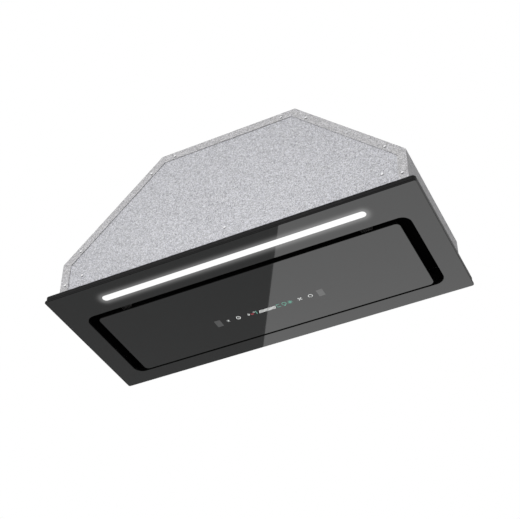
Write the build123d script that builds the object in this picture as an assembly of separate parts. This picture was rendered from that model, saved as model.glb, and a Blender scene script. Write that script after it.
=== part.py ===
from build123d import *
import os
from math import acos, cos, degrees, hypot, radians, sin, sqrt

# Built-in range hood that fills a cut-out in the floor of a wall cabinet.
# Millimetres. X runs along the long side, +Y points away from the lamp, +Z is up.
# The origin is under the middle of the face glass, on the face that looks at the hob.

# Face glass
GLASS_WIDTH = 700.0
GLASS_DEPTH = 290.0
GLASS_THICKNESS = 4.0
GLASS_CORNER = 4.0
GLASS_ARRIS = 0.6
SIDE_BORDER = 40.0
CUTOUT_CORNER = 18.0
FRONT_BORDER = 71.0
REAR_BORDER = 32.0

# Drop-down panel and the suction slots around it
SIDE_SLOT = 20.0
FRONT_SLOT = 10.9
REAR_SEAM = 3.0
PANEL_CORNER = 9.0
PAN_SHEET = 1.0
PAN_MARGIN = 3.0
PAN_LEDGE = 6.0
PAN_WALL = 14.0

# Bonding tape between glass and steel
TAPE_THICKNESS = 1.0
TAPE_WIDTH = 8.0
TAPE_SETBACK = 3.0

# Lamp
LAMP_END = 99.5
LAMP_WIDTH = 14.0
LAMP_SETBACK = 37.0
LAMP_RECESS = 0.2
DIFFUSER_LIP = 4.0
CHANNEL_WALL = 1.2
CHANNEL_HEIGHT = 13.0
CHANNEL_FOOT = 8.0
CHANNEL_CAP = 2.0
LAMP_BOARD = 1.2
CHIP_COUNT = 48
CHIP_SIZE = 3.0
CHIP_HEIGHT = 0.8

# Tray that carries the glass
TRAY_SHEET = 1.2
TRAY_HEIGHT = 8.0
TRAY_INSET = 1.0
TRAY_CORNER = 6.0
TRAY_RELIEF = 1.5

# Galvanised casing
SHEET = 1.0
TOP_WIDTH = 276.0
SIDE_RISE = 83.0
BODY_RISE = 278.0
FRONT_SETBACK = 19.0
SIDE_SETBACK = 16.0
REAR_SETBACK = 15.0
FLANGE = 17.0
MITRE_GAP = 0.5
FOOT_TAB = 12.0
FOOT_TAB_WIDTH = 40.0
FOOT_TAB_INSET = 34.0

# Rivets
RIVET_SHANK = 1.6
RIVET_HEAD = 2.6
RIVET_HEAD_HEIGHT = 1.1
RIVET_DOME = 0.88
RIVET_BULB = 2.2
RIVET_BULB_HEIGHT = 0.8
RIVET_INSET = 10.0
SIDE_RIVET_DROP = 51.5
SHOULDER_RIVET_RUN = 39.5
TOP_RIVET_RUN = 28.0
DECK_RIVET_INSET = 44.5
DECK_RIVET_RISE = 6.5

# Suction chamber and filter deck
LINER_GAP = 10.0
LINER_FRONT_GAP = 11.7
DECK_HEIGHT = 50.0
DECK_FLANGE = 15.0
FILTER_SIDE_ROOM = 41.0
FILTER_REAR_ROOM = 3.0
FILTER_FRONT_ROOM = 15.0
FILTER_THICKNESS = 9.0
FILTER_GAP = 1.0
FILTER_DIVIDER = 12.0
FILTER_RAIL = 12.0
FILTER_GROOVE = 6.0
CORE_THICKNESS = 5.0
CORE_HOLE = 8.0
CORE_PITCH = 12.0
SEAT_LIP = 5.0
TONGUE_WIDTH = 12.0
TONGUE_THICKNESS = 1.4
TONGUE_BEAD = 0.9
TONGUE_ROOM = 1.0
LATCH_WIDTH = 24.0
LATCH_THICKNESS = 2.6
LATCH_TRAVEL = 4.0
LATCH_PULL = 7.0
LATCH_TAB = 2.0
LATCH_HANG = 3.0

# Panel hinges and magnetic catches
HINGE_INSET = 60.0
HINGE_RISE = 7.2
HINGE_SETBACK = 14.6
HINGE_PIN = 1.25
HINGE_EYE = 2.8
HINGE_PLATE = 3.0
HINGE_ROUND = 17.5
HINGE_FOOT = 1.5
HINGE_FOOT_WIDTH = 24.0
HINGE_FOOT_LENGTH = 26.0
FOOT_SCREW_SETBACK = 18.2
FOOT_SCREW_SPREAD = 7.2
HINGE_EAR = 1.5
HINGE_CHEEK_GAP = 0.8
HINGE_BORE = 1.27
HINGE_WINDOW = 15.0
EAR_RISE = 0.4
EAR_MARGIN = 2.0
EAR_PLATE_RISE = 0.7
EAR_PLATE_HALF = 14.0
EAR_PLATE_HEIGHT = 18.0
PIN_END = 0.5
CATCH_INSET = 58.0
CATCH_WIDTH = 22.0
MAGNET_HEIGHT = 5.0
STRIKE_HEIGHT = 1.0
CATCH_GAP = 0.5
CATCH_FOOT = 7.0

# Touch controls behind the panel glass
DISPLAY_SETBACK = 65.0
HOUSING_LENGTH = 232.0
HOUSING_DEPTH = 28.0
HOUSING_HEIGHT = 14.0
HOUSING_WALL = 1.5
HOUSING_FLANGE = 8.0
SENSOR_INSET = 15.0
SENSOR_SIZE = 12.0
DISPLAY_DEPTH = 3.0
BOARD_THICKNESS = 1.6
SYMBOL_HALF = 3.5
SYMBOL_SHARES = (-0.698, -0.517, -0.34, -0.267, 0.164, 0.267, 0.371, 0.534, 0.707)
SLIDER_MIDDLE_SHARE = -0.022
SLIDER_SHARE = 0.138

# Blower
SCROLL_FRONT_ROOM = 6.8
SCROLL_LOWER_ROOM = 15.8
SCROLL_UPPER_ROOM = 26.8
IMPELLER_LENGTH = 148.0
IMPELLER_ROOM = 6.0
BLADE_DEPTH = 13.5
BLADE_COUNT = 36
BLADE_THICKNESS = 0.9
BLADE_BELLY = 3.2
BLADE_TIP = 2.2
BLADE_INSET = 0.3
DRUM_RING = 2.0
TONGUE_GAP = 7.0
SCROLL_GROWTH = 8.0
TONGUE_ANGLE = 80.0
THROAT_PLATE = 2.0
THROAT_MARGIN = 14.0
SCROLL_SHEET = 1.2
INLET_STEP = 1.5
INLET_LIP = 6.0
INLET_SHEET = 1.6
SHAFT_RADIUS = 4.0
HUB_RADIUS = 14.0
HUB_LENGTH = 24.0
NUT_HEIGHT = 6.0
NUT_RADIUS = 7.0
SHAFT_TAIL = 2.0
SHAFT_START = 1.0
MOTOR_RADIUS = 40.0
MOTOR_LENGTH = 50.0
MOTOR_SHELL = 2.0
MOTOR_GAP = 8.0
BEARING_RADIUS = 8.0
BEARING_WIDTH = 4.0
ROTOR_RADIUS = 23.0
ROTOR_GAP = 0.5
BUSH_RADIUS = 5.0
BUSH_CIRCLE = 25.0
SPIDER_REACH = 22.0
SPIDER_ARM = 9.0
SPIDER_RIM = 12.0
SPIDER_SHEET = 1.8
SPIDER_ANGLES = (90.0, 210.0, 330.0)
FOOT_INSET = 25.0
FOOT_HALF = 15.0
FOOT_MARGIN = 5.0
FOOT_DEPTH = 16.0

# Outlet collar and its two damper flaps
DUCT_RADIUS = 74.6
COLLAR_WALL = 2.6
COLLAR_HEIGHT = 55.0
COLLAR_RIM = 9.4
COLLAR_SETBACK = 4.0
COLLAR_PLATE = 3.0
DAMPER_RISE = 10.0
DAMPER_PIN = 1.5
DAMPER_KNUCKLE = 3.0
DAMPER_PITCH = 10.0
DAMPER_PLATE = 1.2
DAMPER_LEDGE = 6.0
DAMPER_BORE = 1.52
PIN_INSET = 0.8
FLAP_GAP = 1.5
FLAP_STEP = 0.7
KNUCKLE_SPREAD = 42.0
KNUCKLE_WIDTH = 16.0

# Electrical parts on the deck
BOX_LENGTH = 120.0
BOX_DEPTH = 68.0
BOX_HEIGHT = 40.0
BOX_WALL = 2.0
BOX_SIDE_ROOM = 34.0
BOX_SETBACK = 5.0
LID_SKIRT = 4.0
BOARD_MARGIN = 8.0
TRANSFORMER = (30.0, 28.0, 24.0)
RELAY = (12.0, 19.0, 15.0)
RELAY_COUNT = 3
RELAY_PITCH = 16.0
SMOOTHER_RADIUS = 6.0
SMOOTHER_HEIGHT = 20.0
SMOOTHER_COUNT = 2
SMOOTHER_PITCH = 18.0
TERMINALS = (36.0, 12.0, 14.0)
TERMINAL_COUNT = 3
TERMINAL_WELL = 2.4
DRIVER_LENGTH = 80.0
DRIVER_DEPTH = 34.0
DRIVER_HEIGHT = 22.0
DRIVER_LEAD_RUN = 18.0
CAPACITOR_RADIUS = 15.0
CAPACITOR_LENGTH = 60.0
CAPACITOR_GAP = 17.0
CAPACITOR_SETBACK = 34.0
SADDLE_FLOOR = 2.0
SADDLE_WALL = 4.0
LEAD_RADIUS = 1.8
LEAD_BEND = 10.0
LEAD_TURN = 24.0
LEAD_DROP = 35.0
LAMP_LEAD_RUN = 23.5
DRIVER_LEAD_RISE = 11.0
GLAND_BORE = 4.0
GLAND_THREAD = 6.0
GLAND_COLLAR = (9.0, 5.0)
GLAND_NOSE = (7.0, 6.0)
GLAND_TAIL = 12.0
GLAND_NUT = (10.0, 5.0)
GLAND_INSET = 74.0
GLAND_RISE = 97.0

# Screws into the cabinet floor
BOARD_SCREW = 2.25
BOARD_SCREW_RISE = 9.0
BOARD_SCREW_FRONT = 5.7
BOARD_SCREW_REAR = 48.0
DRIVER_HOLE = 5.0

# Screws inside the hood
SCREW_SHANK = 1.7
SCREW_HEAD = 3.4
SCREW_HEAD_HEIGHT = 2.0

# Clearances
FIT = 0.2
RUNNING = 0.05
AIR = 0.3

# A right angle in degrees
QUARTER_TURN = 90.0

# The face worked out from the sizes above
GLASS_FRONT = -GLASS_DEPTH / 2
GLASS_REAR = GLASS_DEPTH / 2
CUTOUT_WIDTH = GLASS_WIDTH - 2 * SIDE_BORDER
CUT_FRONT = GLASS_FRONT + FRONT_BORDER
CUT_REAR = GLASS_REAR - REAR_BORDER
CUT_MIDDLE = (CUT_FRONT + CUT_REAR) / 2
CUT_DEPTH = CUT_REAR - CUT_FRONT
PANEL_WIDTH = CUTOUT_WIDTH - 2 * SIDE_SLOT
PANEL_FRONT = CUT_FRONT + FRONT_SLOT
PANEL_REAR = CUT_REAR - REAR_SEAM
PANEL_DEPTH = PANEL_REAR - PANEL_FRONT
PANEL_MIDDLE = (PANEL_FRONT + PANEL_REAR) / 2
LAMP_LENGTH = GLASS_WIDTH - 2 * LAMP_END
LAMP_Y = GLASS_FRONT + LAMP_SETBACK

# Levels and faces of the casing
TRAY_LOW = GLASS_THICKNESS + TAPE_THICKNESS
TRAY_FLOOR = TRAY_LOW + TRAY_SHEET
TRAY_TOP = TRAY_LOW + TRAY_HEIGHT
BODY_WIDTH = GLASS_WIDTH - 2 * SIDE_SETBACK
BODY_HALF = BODY_WIDTH / 2
BODY_FRONT = GLASS_FRONT + FRONT_SETBACK
BODY_REAR = GLASS_REAR - REAR_SETBACK
BODY_TOP = TRAY_TOP + BODY_RISE
SIDE_TOP = TRAY_TOP + SIDE_RISE
FRONT_INSIDE = BODY_FRONT + 2 * SHEET
REAR_INSIDE = BODY_REAR - 2 * SHEET
FOOT_TAB_SPREAD = BODY_HALF - FOOT_TAB_INSET
DECK_RIVET_SPREAD = BODY_HALF - DECK_RIVET_INSET
LINER_FRONT = CUT_FRONT - LINER_FRONT_GAP
DECK_TOP = DECK_HEIGHT + SHEET
THROAT_TOP = BODY_TOP - SHEET - THROAT_PLATE

# The pan and what it carries
PAN_FLOOR = TRAY_LOW + PAN_SHEET
PAN_HALF = PANEL_WIDTH / 2 - PAN_MARGIN
PAN_FRONT = PANEL_FRONT + PAN_MARGIN
PAN_REAR = PANEL_REAR - PAN_MARGIN
HINGE_Y = PANEL_REAR + HINGE_SETBACK
HINGE_SPREAD = PANEL_WIDTH / 2 - HINGE_INSET
CATCH_SPREAD = PANEL_WIDTH / 2 - CATCH_INSET
CATCH_END = PAN_FRONT + PAN_LEDGE - CATCH_GAP
DISPLAY_Y = PANEL_REAR - DISPLAY_SETBACK
SENSOR_SPREAD = HOUSING_LENGTH / 2 - SENSOR_INSET

# The control box, and the filters behind it
BOX_LEFT = -BODY_HALF + BOX_SIDE_ROOM
BOX_RIGHT = BOX_LEFT + BOX_LENGTH
BOX_FRONT = FRONT_INSIDE + SHEET + BOX_SETBACK
BOX_REAR = BOX_FRONT + BOX_DEPTH
BOX_TOP = DECK_TOP + BOX_HEIGHT
FILTER_FRONT = BOX_REAR + FILTER_FRONT_ROOM
FILTER_REAR = CUT_REAR - FILTER_REAR_ROOM
FILTER_DEPTH = FILTER_REAR - FILTER_FRONT
FILTER_LENGTH = CUTOUT_WIDTH / 2 - FILTER_SIDE_ROOM - FILTER_DIVIDER / 2 - FILTER_GAP
FILTER_MIDDLE_Z = DECK_HEIGHT + AIR + FILTER_THICKNESS / 2
TILT_Y = FILTER_REAR + FILTER_GAP + SHEET - TONGUE_BEAD

# The outlet stands at the rear of the top, with its throat below it
COLLAR_FLANGE = DUCT_RADIUS + COLLAR_RIM
OUTLET_Y = BODY_REAR - COLLAR_SETBACK - COLLAR_FLANGE
DAMPER_Z = BODY_TOP + DAMPER_RISE
SCROLL_STEP = SCROLL_GROWTH / 2
THROAT_SHARE = (1 + cos(radians(TONGUE_ANGLE))) / 2

# The scroll takes the room over the deck and in front of the outlet, and the impeller fills it
SCROLL_HEIGHT = THROAT_TOP - DECK_TOP - SCROLL_LOWER_ROOM - SCROLL_UPPER_ROOM
RADIUS_IN_HEIGHT = (SCROLL_HEIGHT - SCROLL_GROWTH) / 2 - SCROLL_SHEET
SCROLL_REACH = OUTLET_Y - SCROLL_GROWTH - SCROLL_STEP - SCROLL_SHEET - SCROLL_FRONT_ROOM - FRONT_INSIDE
RADIUS_IN_DEPTH = SCROLL_REACH / (1 + THROAT_SHARE)
SCROLL_RADIUS = min(RADIUS_IN_HEIGHT, RADIUS_IN_DEPTH)
SCROLL_WIDTH = IMPELLER_LENGTH + 2 * IMPELLER_ROOM
IMPELLER_RADIUS = SCROLL_RADIUS - TONGUE_GAP
BLADE_ROOT = IMPELLER_RADIUS - BLADE_DEPTH
INLET_RADIUS = BLADE_ROOT - INLET_STEP
SPIDER_RADIUS = INLET_RADIUS + SPIDER_REACH
BLOWER_Y = OUTLET_Y - SCROLL_GROWTH - SCROLL_RADIUS * THROAT_SHARE
BLOWER_Z = DECK_TOP + SCROLL_LOWER_ROOM + SCROLL_SHEET + SCROLL_RADIUS + SCROLL_GROWTH + SCROLL_STEP

# The scroll's three arcs, each of which turns a quarter and grows
FIRST_ARC = (BLOWER_Y - SCROLL_STEP, BLOWER_Z - SCROLL_STEP)
SECOND_ARC = (BLOWER_Y + SCROLL_STEP, BLOWER_Z - SCROLL_STEP)
THIRD_ARC = (BLOWER_Y + SCROLL_STEP, BLOWER_Z + SCROLL_STEP)
THROAT_FRONT = FIRST_ARC[0] + SCROLL_RADIUS * cos(radians(TONGUE_ANGLE))
THROAT_REAR = THIRD_ARC[0] + SCROLL_RADIUS + 2 * SCROLL_GROWTH

# The motor's faces, the lamp's channel, the leads and the gland
MOTOR_INNER = -HUB_LENGTH / 2 - MOTOR_GAP
MOTOR_OUTER = MOTOR_INNER - MOTOR_LENGTH
SPIDER_START = -SCROLL_WIDTH / 2 - 2 * SCROLL_SHEET - SPIDER_SHEET
LEAD_Y = BOX_FRONT + BOX_DEPTH / 2
LEAD_Z = DECK_TOP + BOX_HEIGHT / 2
CHANNEL_TOP = TRAY_FLOOR + CHANNEL_HEIGHT
CHANNEL_END = LAMP_LENGTH / 2 + DIFFUSER_LIP
LAMP_LEAD_X = CHANNEL_END + CHANNEL_CAP + LAMP_LEAD_RUN
DRIVER_END = LAMP_LEAD_X - DRIVER_LEAD_RUN
CAPACITOR_X = DRIVER_END - DRIVER_LENGTH - CAPACITOR_GAP - CAPACITOR_LENGTH
CAPACITOR_Y = FRONT_INSIDE + CAPACITOR_SETBACK
GLAND_X = -BODY_HALF + GLAND_INSET
GLAND_Z = TRAY_TOP + GLAND_RISE


def block(x_low, x_high, y_low, y_high, z_low, z_high):
    """A box between two corners."""
    centre = ((x_low + x_high) / 2, (y_low + y_high) / 2, (z_low + z_high) / 2)
    return Pos(*centre) * Box(x_high - x_low, y_high - y_low, z_high - z_low)


def slab(width, depth, corner, z_low, z_high, y_middle=0.0):
    """A rounded rectangle lying flat, between two levels."""
    flat = Plane.XY.offset(z_low) * Pos(0, y_middle) * RectangleRounded(width, depth, corner)
    return extrude(flat, z_high - z_low)


def capsule(length, width, z_low, z_high, y_middle):
    """A long slot shape with round ends, lying flat."""
    flat = Plane.XY.offset(z_low) * Pos(0, y_middle) * SlotOverall(length, width)
    return extrude(flat, z_high - z_low)


def rod(start, direction, radius, length):
    """A cylinder that runs from a point along a direction."""
    return Plane(origin=start, z_dir=direction) * Cylinder(
        radius, length, align=(Align.CENTER, Align.CENTER, Align.MIN)
    )


def tube(start, direction, outer, inner, length):
    """A cylinder with a bore right through."""
    return rod(start, direction, outer, length) - rod(start, direction, inner, length)


def along_x(profile, x_low, x_high):
    """Extrudes a profile drawn in Y and Z."""
    return extrude(Plane.YZ.offset(x_low) * profile, x_high - x_low)


def along_y(profile, y_low, y_high):
    """Extrudes a profile drawn in X and Z."""
    return extrude(Plane.XZ.offset(-y_high) * profile, y_high - y_low)


def outline(*points):
    """A flat face inside straight edges."""
    return make_face(Polyline(*points, close=True))


def group(pieces):
    """Separate solids kept in one node."""
    return Compound([solid for piece in pieces for solid in piece.solids()])


def screw(seat, direction, length):
    """A pan-head screw whose head sits on the seat and whose shank runs along the direction."""
    back = [-part for part in direction]
    head = rod(seat, back, SCREW_HEAD, SCREW_HEAD_HEIGHT)
    rim = head.edges().filter_by(GeomType.CIRCLE).sort_by(Axis(seat, back))[-1]
    head = fillet(rim, SCREW_HEAD_HEIGHT / 2)
    recess_seat = [seat[i] + back[i] * SCREW_HEAD_HEIGHT / 2 for i in range(3)]
    recess = rod(recess_seat, back, SCREW_SHANK / 2, SCREW_HEAD_HEIGHT)
    return head + rod(seat, direction, SCREW_SHANK, length) - recess


def rivet(seat, direction, grip):
    """A blind rivet: a domed head on the seat, a shank through the grip and a bulb behind it."""
    back = [-part for part in direction]
    head = rod(seat, back, RIVET_HEAD, RIVET_HEAD_HEIGHT)
    rim = head.edges().filter_by(GeomType.CIRCLE).sort_by(Axis(seat, back))[-1]
    head = fillet(rim, RIVET_DOME)
    shank = rod(seat, direction, RIVET_SHANK, grip)
    bulb_seat = [seat[i] + direction[i] * grip for i in range(3)]
    return head + shank + rod(bulb_seat, direction, RIVET_BULB, RIVET_BULB_HEIGHT)


def glass_frame():
    """The fixed face glass, with the big cut-out and the lamp slot."""
    sheet = slab(GLASS_WIDTH, GLASS_DEPTH, GLASS_CORNER, 0, GLASS_THICKNESS)
    sheet -= slab(CUTOUT_WIDTH, CUT_DEPTH, CUTOUT_CORNER, -1, GLASS_THICKNESS + 1, CUT_MIDDLE)
    levels = sheet.edges().group_by(Axis.Z)
    sheet = chamfer(levels[0] + levels[-1], GLASS_ARRIS)
    return sheet - capsule(LAMP_LENGTH + 2 * FIT, LAMP_WIDTH + 2 * FIT, -1, GLASS_THICKNESS + 1, LAMP_Y)


def hinge_windows(z_low, z_high):
    """The room around both hinges, open to the cut-out."""
    low = CUT_REAR - TRAY_SHEET
    return [
        block(x - HINGE_WINDOW, x + HINGE_WINDOW, low, REAR_INSIDE, z_low, z_high)
        for x in (-HINGE_SPREAD, HINGE_SPREAD)
    ]


def glass_tape():
    """Two rings of bonding tape between the face glass and the tray."""
    outer_width = GLASS_WIDTH - 2 * TAPE_SETBACK
    outer_depth = GLASS_DEPTH - 2 * TAPE_SETBACK
    outer = slab(outer_width, outer_depth, GLASS_CORNER, GLASS_THICKNESS, TRAY_LOW)
    outer -= slab(
        outer_width - 2 * TAPE_WIDTH, outer_depth - 2 * TAPE_WIDTH, GLASS_CORNER, GLASS_THICKNESS, TRAY_LOW
    )
    gap = 2 * TAPE_SETBACK
    inner = slab(
        CUTOUT_WIDTH + gap + 2 * TAPE_WIDTH,
        CUT_DEPTH + gap + 2 * TAPE_WIDTH,
        CUTOUT_CORNER + TAPE_WIDTH,
        GLASS_THICKNESS,
        TRAY_LOW,
        CUT_MIDDLE,
    )
    inner -= slab(CUTOUT_WIDTH + gap, CUT_DEPTH + gap, CUTOUT_CORNER, GLASS_THICKNESS, TRAY_LOW, CUT_MIDDLE)
    inner -= hinge_windows(GLASS_THICKNESS, TRAY_LOW)
    inner -= [
        rod((x, y, GLASS_THICKNESS), (0, 0, 1), RIVET_BULB + FIT, TAPE_THICKNESS)
        for x, y in foot_rivet_points()
    ]
    return group([outer, inner])


def foot_rivet_points():
    """Where the casing's foot tabs are riveted to the tray floor."""
    front = FRONT_INSIDE + FOOT_TAB / 2
    rear = REAR_INSIDE - FOOT_TAB / 2
    return [(x, y) for x in (-FOOT_TAB_SPREAD, FOOT_TAB_SPREAD) for y in (front, rear)]


def lamp_screw_points():
    """Where the lamp channel's foot is screwed to the tray floor."""
    y = LAMP_Y + LAMP_WIDTH / 2 + CHANNEL_WALL + CHANNEL_FOOT / 2
    return [(x, y) for x in (-LAMP_LENGTH / 3, 0.0, LAMP_LENGTH / 3)]


def base_tray():
    """The black steel tray: floor, low rim and a top flange that lies against the cabinet."""
    inset = 2 * TRAY_INSET
    wall = 2 * TRAY_SHEET
    tray = slab(GLASS_WIDTH - inset, GLASS_DEPTH - inset, TRAY_CORNER, TRAY_LOW, TRAY_TOP)
    tray -= slab(
        GLASS_WIDTH - inset - wall,
        GLASS_DEPTH - inset - wall,
        TRAY_CORNER - TRAY_SHEET,
        TRAY_FLOOR,
        TRAY_TOP - TRAY_SHEET,
    )
    tray -= block(
        -BODY_HALF - FIT, BODY_HALF + FIT, BODY_FRONT - FIT, BODY_REAR + FIT, TRAY_FLOOR, TRAY_TOP + 1
    )
    tray -= slab(
        CUTOUT_WIDTH + 2 * TRAY_RELIEF,
        CUT_DEPTH + 2 * TRAY_RELIEF,
        CUTOUT_CORNER + TRAY_RELIEF,
        TRAY_LOW - 1,
        TRAY_FLOOR + 1,
        CUT_MIDDLE,
    )
    tray -= hinge_windows(TRAY_LOW - 1, TRAY_FLOOR + 1)
    tray -= capsule(LAMP_LENGTH - 2, LAMP_WIDTH - 2, TRAY_LOW - 1, TRAY_FLOOR + 1, LAMP_Y)
    low = TRAY_LOW - 1
    depth = TRAY_SHEET + 2
    holes = [rod((x, y, low), (0, 0, 1), RIVET_SHANK + FIT, depth) for x, y in foot_rivet_points()]
    holes += [rod((x, y, low), (0, 0, 1), SCREW_SHANK + FIT, depth) for x, y in lamp_screw_points()]
    return tray - holes


def light_diffuser():
    """The milky lens that fills the lamp slot, with a lip behind the glass."""
    lens = capsule(LAMP_LENGTH, LAMP_WIDTH, LAMP_RECESS, GLASS_THICKNESS, LAMP_Y)
    lip = 2 * DIFFUSER_LIP
    return lens + capsule(LAMP_LENGTH + lip, LAMP_WIDTH + lip, GLASS_THICKNESS, TRAY_LOW, LAMP_Y)


def lamp_channel():
    """The aluminium channel over the lamp slot, screwed down along its rear foot."""
    half = CHANNEL_END
    front = LAMP_Y - LAMP_WIDTH / 2 - CHANNEL_WALL
    rear = LAMP_Y + LAMP_WIDTH / 2 + CHANNEL_WALL
    body = block(-half, half, front, rear, TRAY_FLOOR, CHANNEL_TOP)
    body -= block(
        -half, half, front + CHANNEL_WALL, rear - CHANNEL_WALL, TRAY_FLOOR, CHANNEL_TOP - CHANNEL_WALL
    )
    body += block(-half, half, rear, rear + CHANNEL_FOOT, TRAY_FLOOR, TRAY_FLOOR + CHANNEL_WALL)
    holes = [
        rod((x, y, TRAY_FLOOR), (0, 0, 1), SCREW_SHANK + FIT, CHANNEL_WALL) for x, y in lamp_screw_points()
    ]
    return body - holes


def lamp_caps():
    """Plastic caps that close both ends of the lamp channel."""
    front = LAMP_Y - LAMP_WIDTH / 2 - CHANNEL_WALL
    rear = LAMP_Y + LAMP_WIDTH / 2 + CHANNEL_WALL
    right = block(CHANNEL_END, CHANNEL_END + CHANNEL_CAP, front, rear, TRAY_FLOOR, CHANNEL_TOP)
    return group([right, mirror(right, Plane.YZ)])


def lamp_board():
    """The strip board under the channel's ceiling, with its row of light chips."""
    half = LAMP_LENGTH / 2
    width = LAMP_WIDTH / 2 - FIT
    top = CHANNEL_TOP - CHANNEL_WALL
    low = top - LAMP_BOARD
    pitch = (LAMP_LENGTH - LAMP_WIDTH) / CHIP_COUNT
    side = CHIP_SIZE / 2
    pieces = [block(-half, half, LAMP_Y - width, LAMP_Y + width, low, top)]
    for index in range(CHIP_COUNT):
        x = (index - (CHIP_COUNT - 1) / 2) * pitch
        pieces.append(block(x - side, x + side, LAMP_Y - side, LAMP_Y + side, low - CHIP_HEIGHT, low))
    return group(pieces)


def casing_bends(inset):
    """The lower and upper bend of the right shoulder, moved inwards by the inset."""
    run = (BODY_WIDTH - TOP_WIDTH) / 2
    rise = BODY_TOP - SIDE_TOP
    length = hypot(run, rise)
    across, upward = rise / length, run / length
    reach = across * BODY_HALF + upward * SIDE_TOP - inset
    side_x = BODY_HALF - inset
    top_z = BODY_TOP - inset
    return (side_x, (reach - across * side_x) / upward), ((reach - upward * top_z) / across, top_z)


def casing_outline(inset, low):
    """The six-sided front view of the casing, open at the bottom level."""
    (side_x, side_z), (top_x, top_z) = casing_bends(inset)
    return outline(
        (-side_x, low), (-side_x, side_z), (-top_x, top_z), (top_x, top_z), (side_x, side_z), (side_x, low)
    )


def mitre_slits(y_low, y_high):
    """Thin gaps where the flange strips meet at the four bends."""
    slits = []
    for outer, inner in zip(casing_bends(2 * SHEET), casing_bends(FLANGE + 1)):
        for side in (-1, 1):
            half = MITRE_GAP / 2
            strip = outline(
                (side * outer[0], outer[1] + half),
                (side * outer[0], outer[1] - half),
                (side * inner[0], inner[1] - half),
                (side * inner[0], inner[1] + half),
            )
            slits.append(along_y(strip, y_low, y_high))
    return slits


def flange_rivet_points():
    """Rivets along the flange, as X and Z on one face."""
    (low_x, low_z), (high_x, high_z) = casing_bends(0)
    run = (BODY_WIDTH - TOP_WIDTH) / 2
    rise = BODY_TOP - SIDE_TOP
    length = hypot(run, rise)
    step_x, step_z = run / length, rise / length
    right = [(BODY_HALF - RIVET_INSET, SIDE_TOP - SIDE_RIVET_DROP)]
    for x, z, way in ((low_x, low_z, 1), (high_x, high_z, -1)):
        along = way * SHOULDER_RIVET_RUN
        right.append((x - along * step_x - RIVET_INSET * step_z, z + along * step_z - RIVET_INSET * step_x))
    right.append((high_x - TOP_RIVET_RUN, BODY_TOP - RIVET_INSET))
    return right + [(-x, z) for x, z in right]


def deck_rivet_points():
    """Rivets that hold the filter deck's edge flanges, as X and Z on one face."""
    z = DECK_HEIGHT + DECK_RIVET_RISE
    return [(-DECK_RIVET_SPREAD, z), (0.0, z), (DECK_RIVET_SPREAD, z)]


def sheet_holes(points, radius):
    """Round holes through the front and the rear of the casing."""
    return [rod((x, BODY_FRONT - 1, z), (0, 1, 0), radius, BODY_REAR - BODY_FRONT + 2) for x, z in points]


def board_screw_points():
    """Heights and places of the screws through the casing's side walls."""
    z = TRAY_TOP + BOARD_SCREW_RISE
    return [(LINER_FRONT + BOARD_SCREW_FRONT, z), (REAR_INSIDE - BOARD_SCREW_REAR, z)]


def casing_wrap():
    """The folded strip that makes both sides, both shoulders and the top, with flanges front and rear."""
    low = TRAY_FLOOR
    shape = casing_outline(0, low)
    wrap = along_y(shape - casing_outline(SHEET, low - 1), BODY_FRONT, BODY_REAR)
    border = shape - casing_outline(FLANGE, low - 1)
    for y in (BODY_FRONT, BODY_REAR - SHEET):
        wrap += along_y(border, y, y + SHEET) - mitre_slits(y - 1, y + SHEET + 1)
    wrap -= sheet_holes(flange_rivet_points(), RIVET_SHANK + RUNNING)
    wrap -= rod((0, OUTLET_Y, BODY_TOP - 2), (0, 0, 1), DUCT_RADIUS - COLLAR_WALL, 4)
    wrap -= outlet_screw_holes(BODY_TOP - 2, 4)
    wrap -= [
        rod((-BODY_HALF - 1, y, z), (1, 0, 0), BOARD_SCREW, BODY_WIDTH + 2) for y, z in board_screw_points()
    ]
    return wrap


def face_sheet(y_low, inward):
    """A flat six-sided sheet behind the flanges, with two foot tabs bent inwards."""
    low = TRAY_FLOOR
    sheet = along_y(casing_outline(SHEET + FIT, low), y_low, y_low + SHEET)
    edge = FRONT_INSIDE if inward > 0 else REAR_INSIDE
    ends = sorted((edge, edge + inward * FOOT_TAB))
    half = FOOT_TAB_WIDTH / 2
    for x in (-FOOT_TAB_SPREAD, FOOT_TAB_SPREAD):
        left, right = max(x - half, -BODY_HALF + SHEET + FIT), min(x + half, BODY_HALF - SHEET - FIT)
        sheet += block(left, right, ends[0], ends[1], low, low + SHEET)
    sheet -= sheet_holes(flange_rivet_points() + deck_rivet_points(), RIVET_SHANK + RUNNING)
    return sheet - [rod((x, y, low), (0, 0, 1), RIVET_SHANK + RUNNING, SHEET) for x, y in foot_rivet_points()]


def front_sheet():
    """The galvanised front sheet."""
    return face_sheet(BODY_FRONT + SHEET, 1)


def rear_sheet():
    """The galvanised rear sheet, with the hole for the cable gland."""
    sheet = face_sheet(BODY_REAR - 2 * SHEET, -1)
    return sheet - rod((GLAND_X, REAR_INSIDE - 1, GLAND_Z), (0, 1, 0), GLAND_THREAD + RUNNING, SHEET + 2)


def casing_rivets():
    """Rivets that hold the casing, the deck and the tray together."""
    rivets = [rivet((x, BODY_FRONT, z), (0, 1, 0), 2 * SHEET) for x, z in flange_rivet_points()]
    rivets += [rivet((x, BODY_REAR, z), (0, -1, 0), 2 * SHEET) for x, z in flange_rivet_points()]
    rivets += [rivet((x, BODY_FRONT + SHEET, z), (0, 1, 0), 2 * SHEET) for x, z in deck_rivet_points()]
    rivets += [rivet((x, BODY_REAR - SHEET, z), (0, -1, 0), 2 * SHEET) for x, z in deck_rivet_points()]
    top = TRAY_FLOOR + SHEET
    rivets += [rivet((x, y, top), (0, 0, -1), SHEET + TRAY_SHEET) for x, y in foot_rivet_points()]
    return group(rivets)


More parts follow.
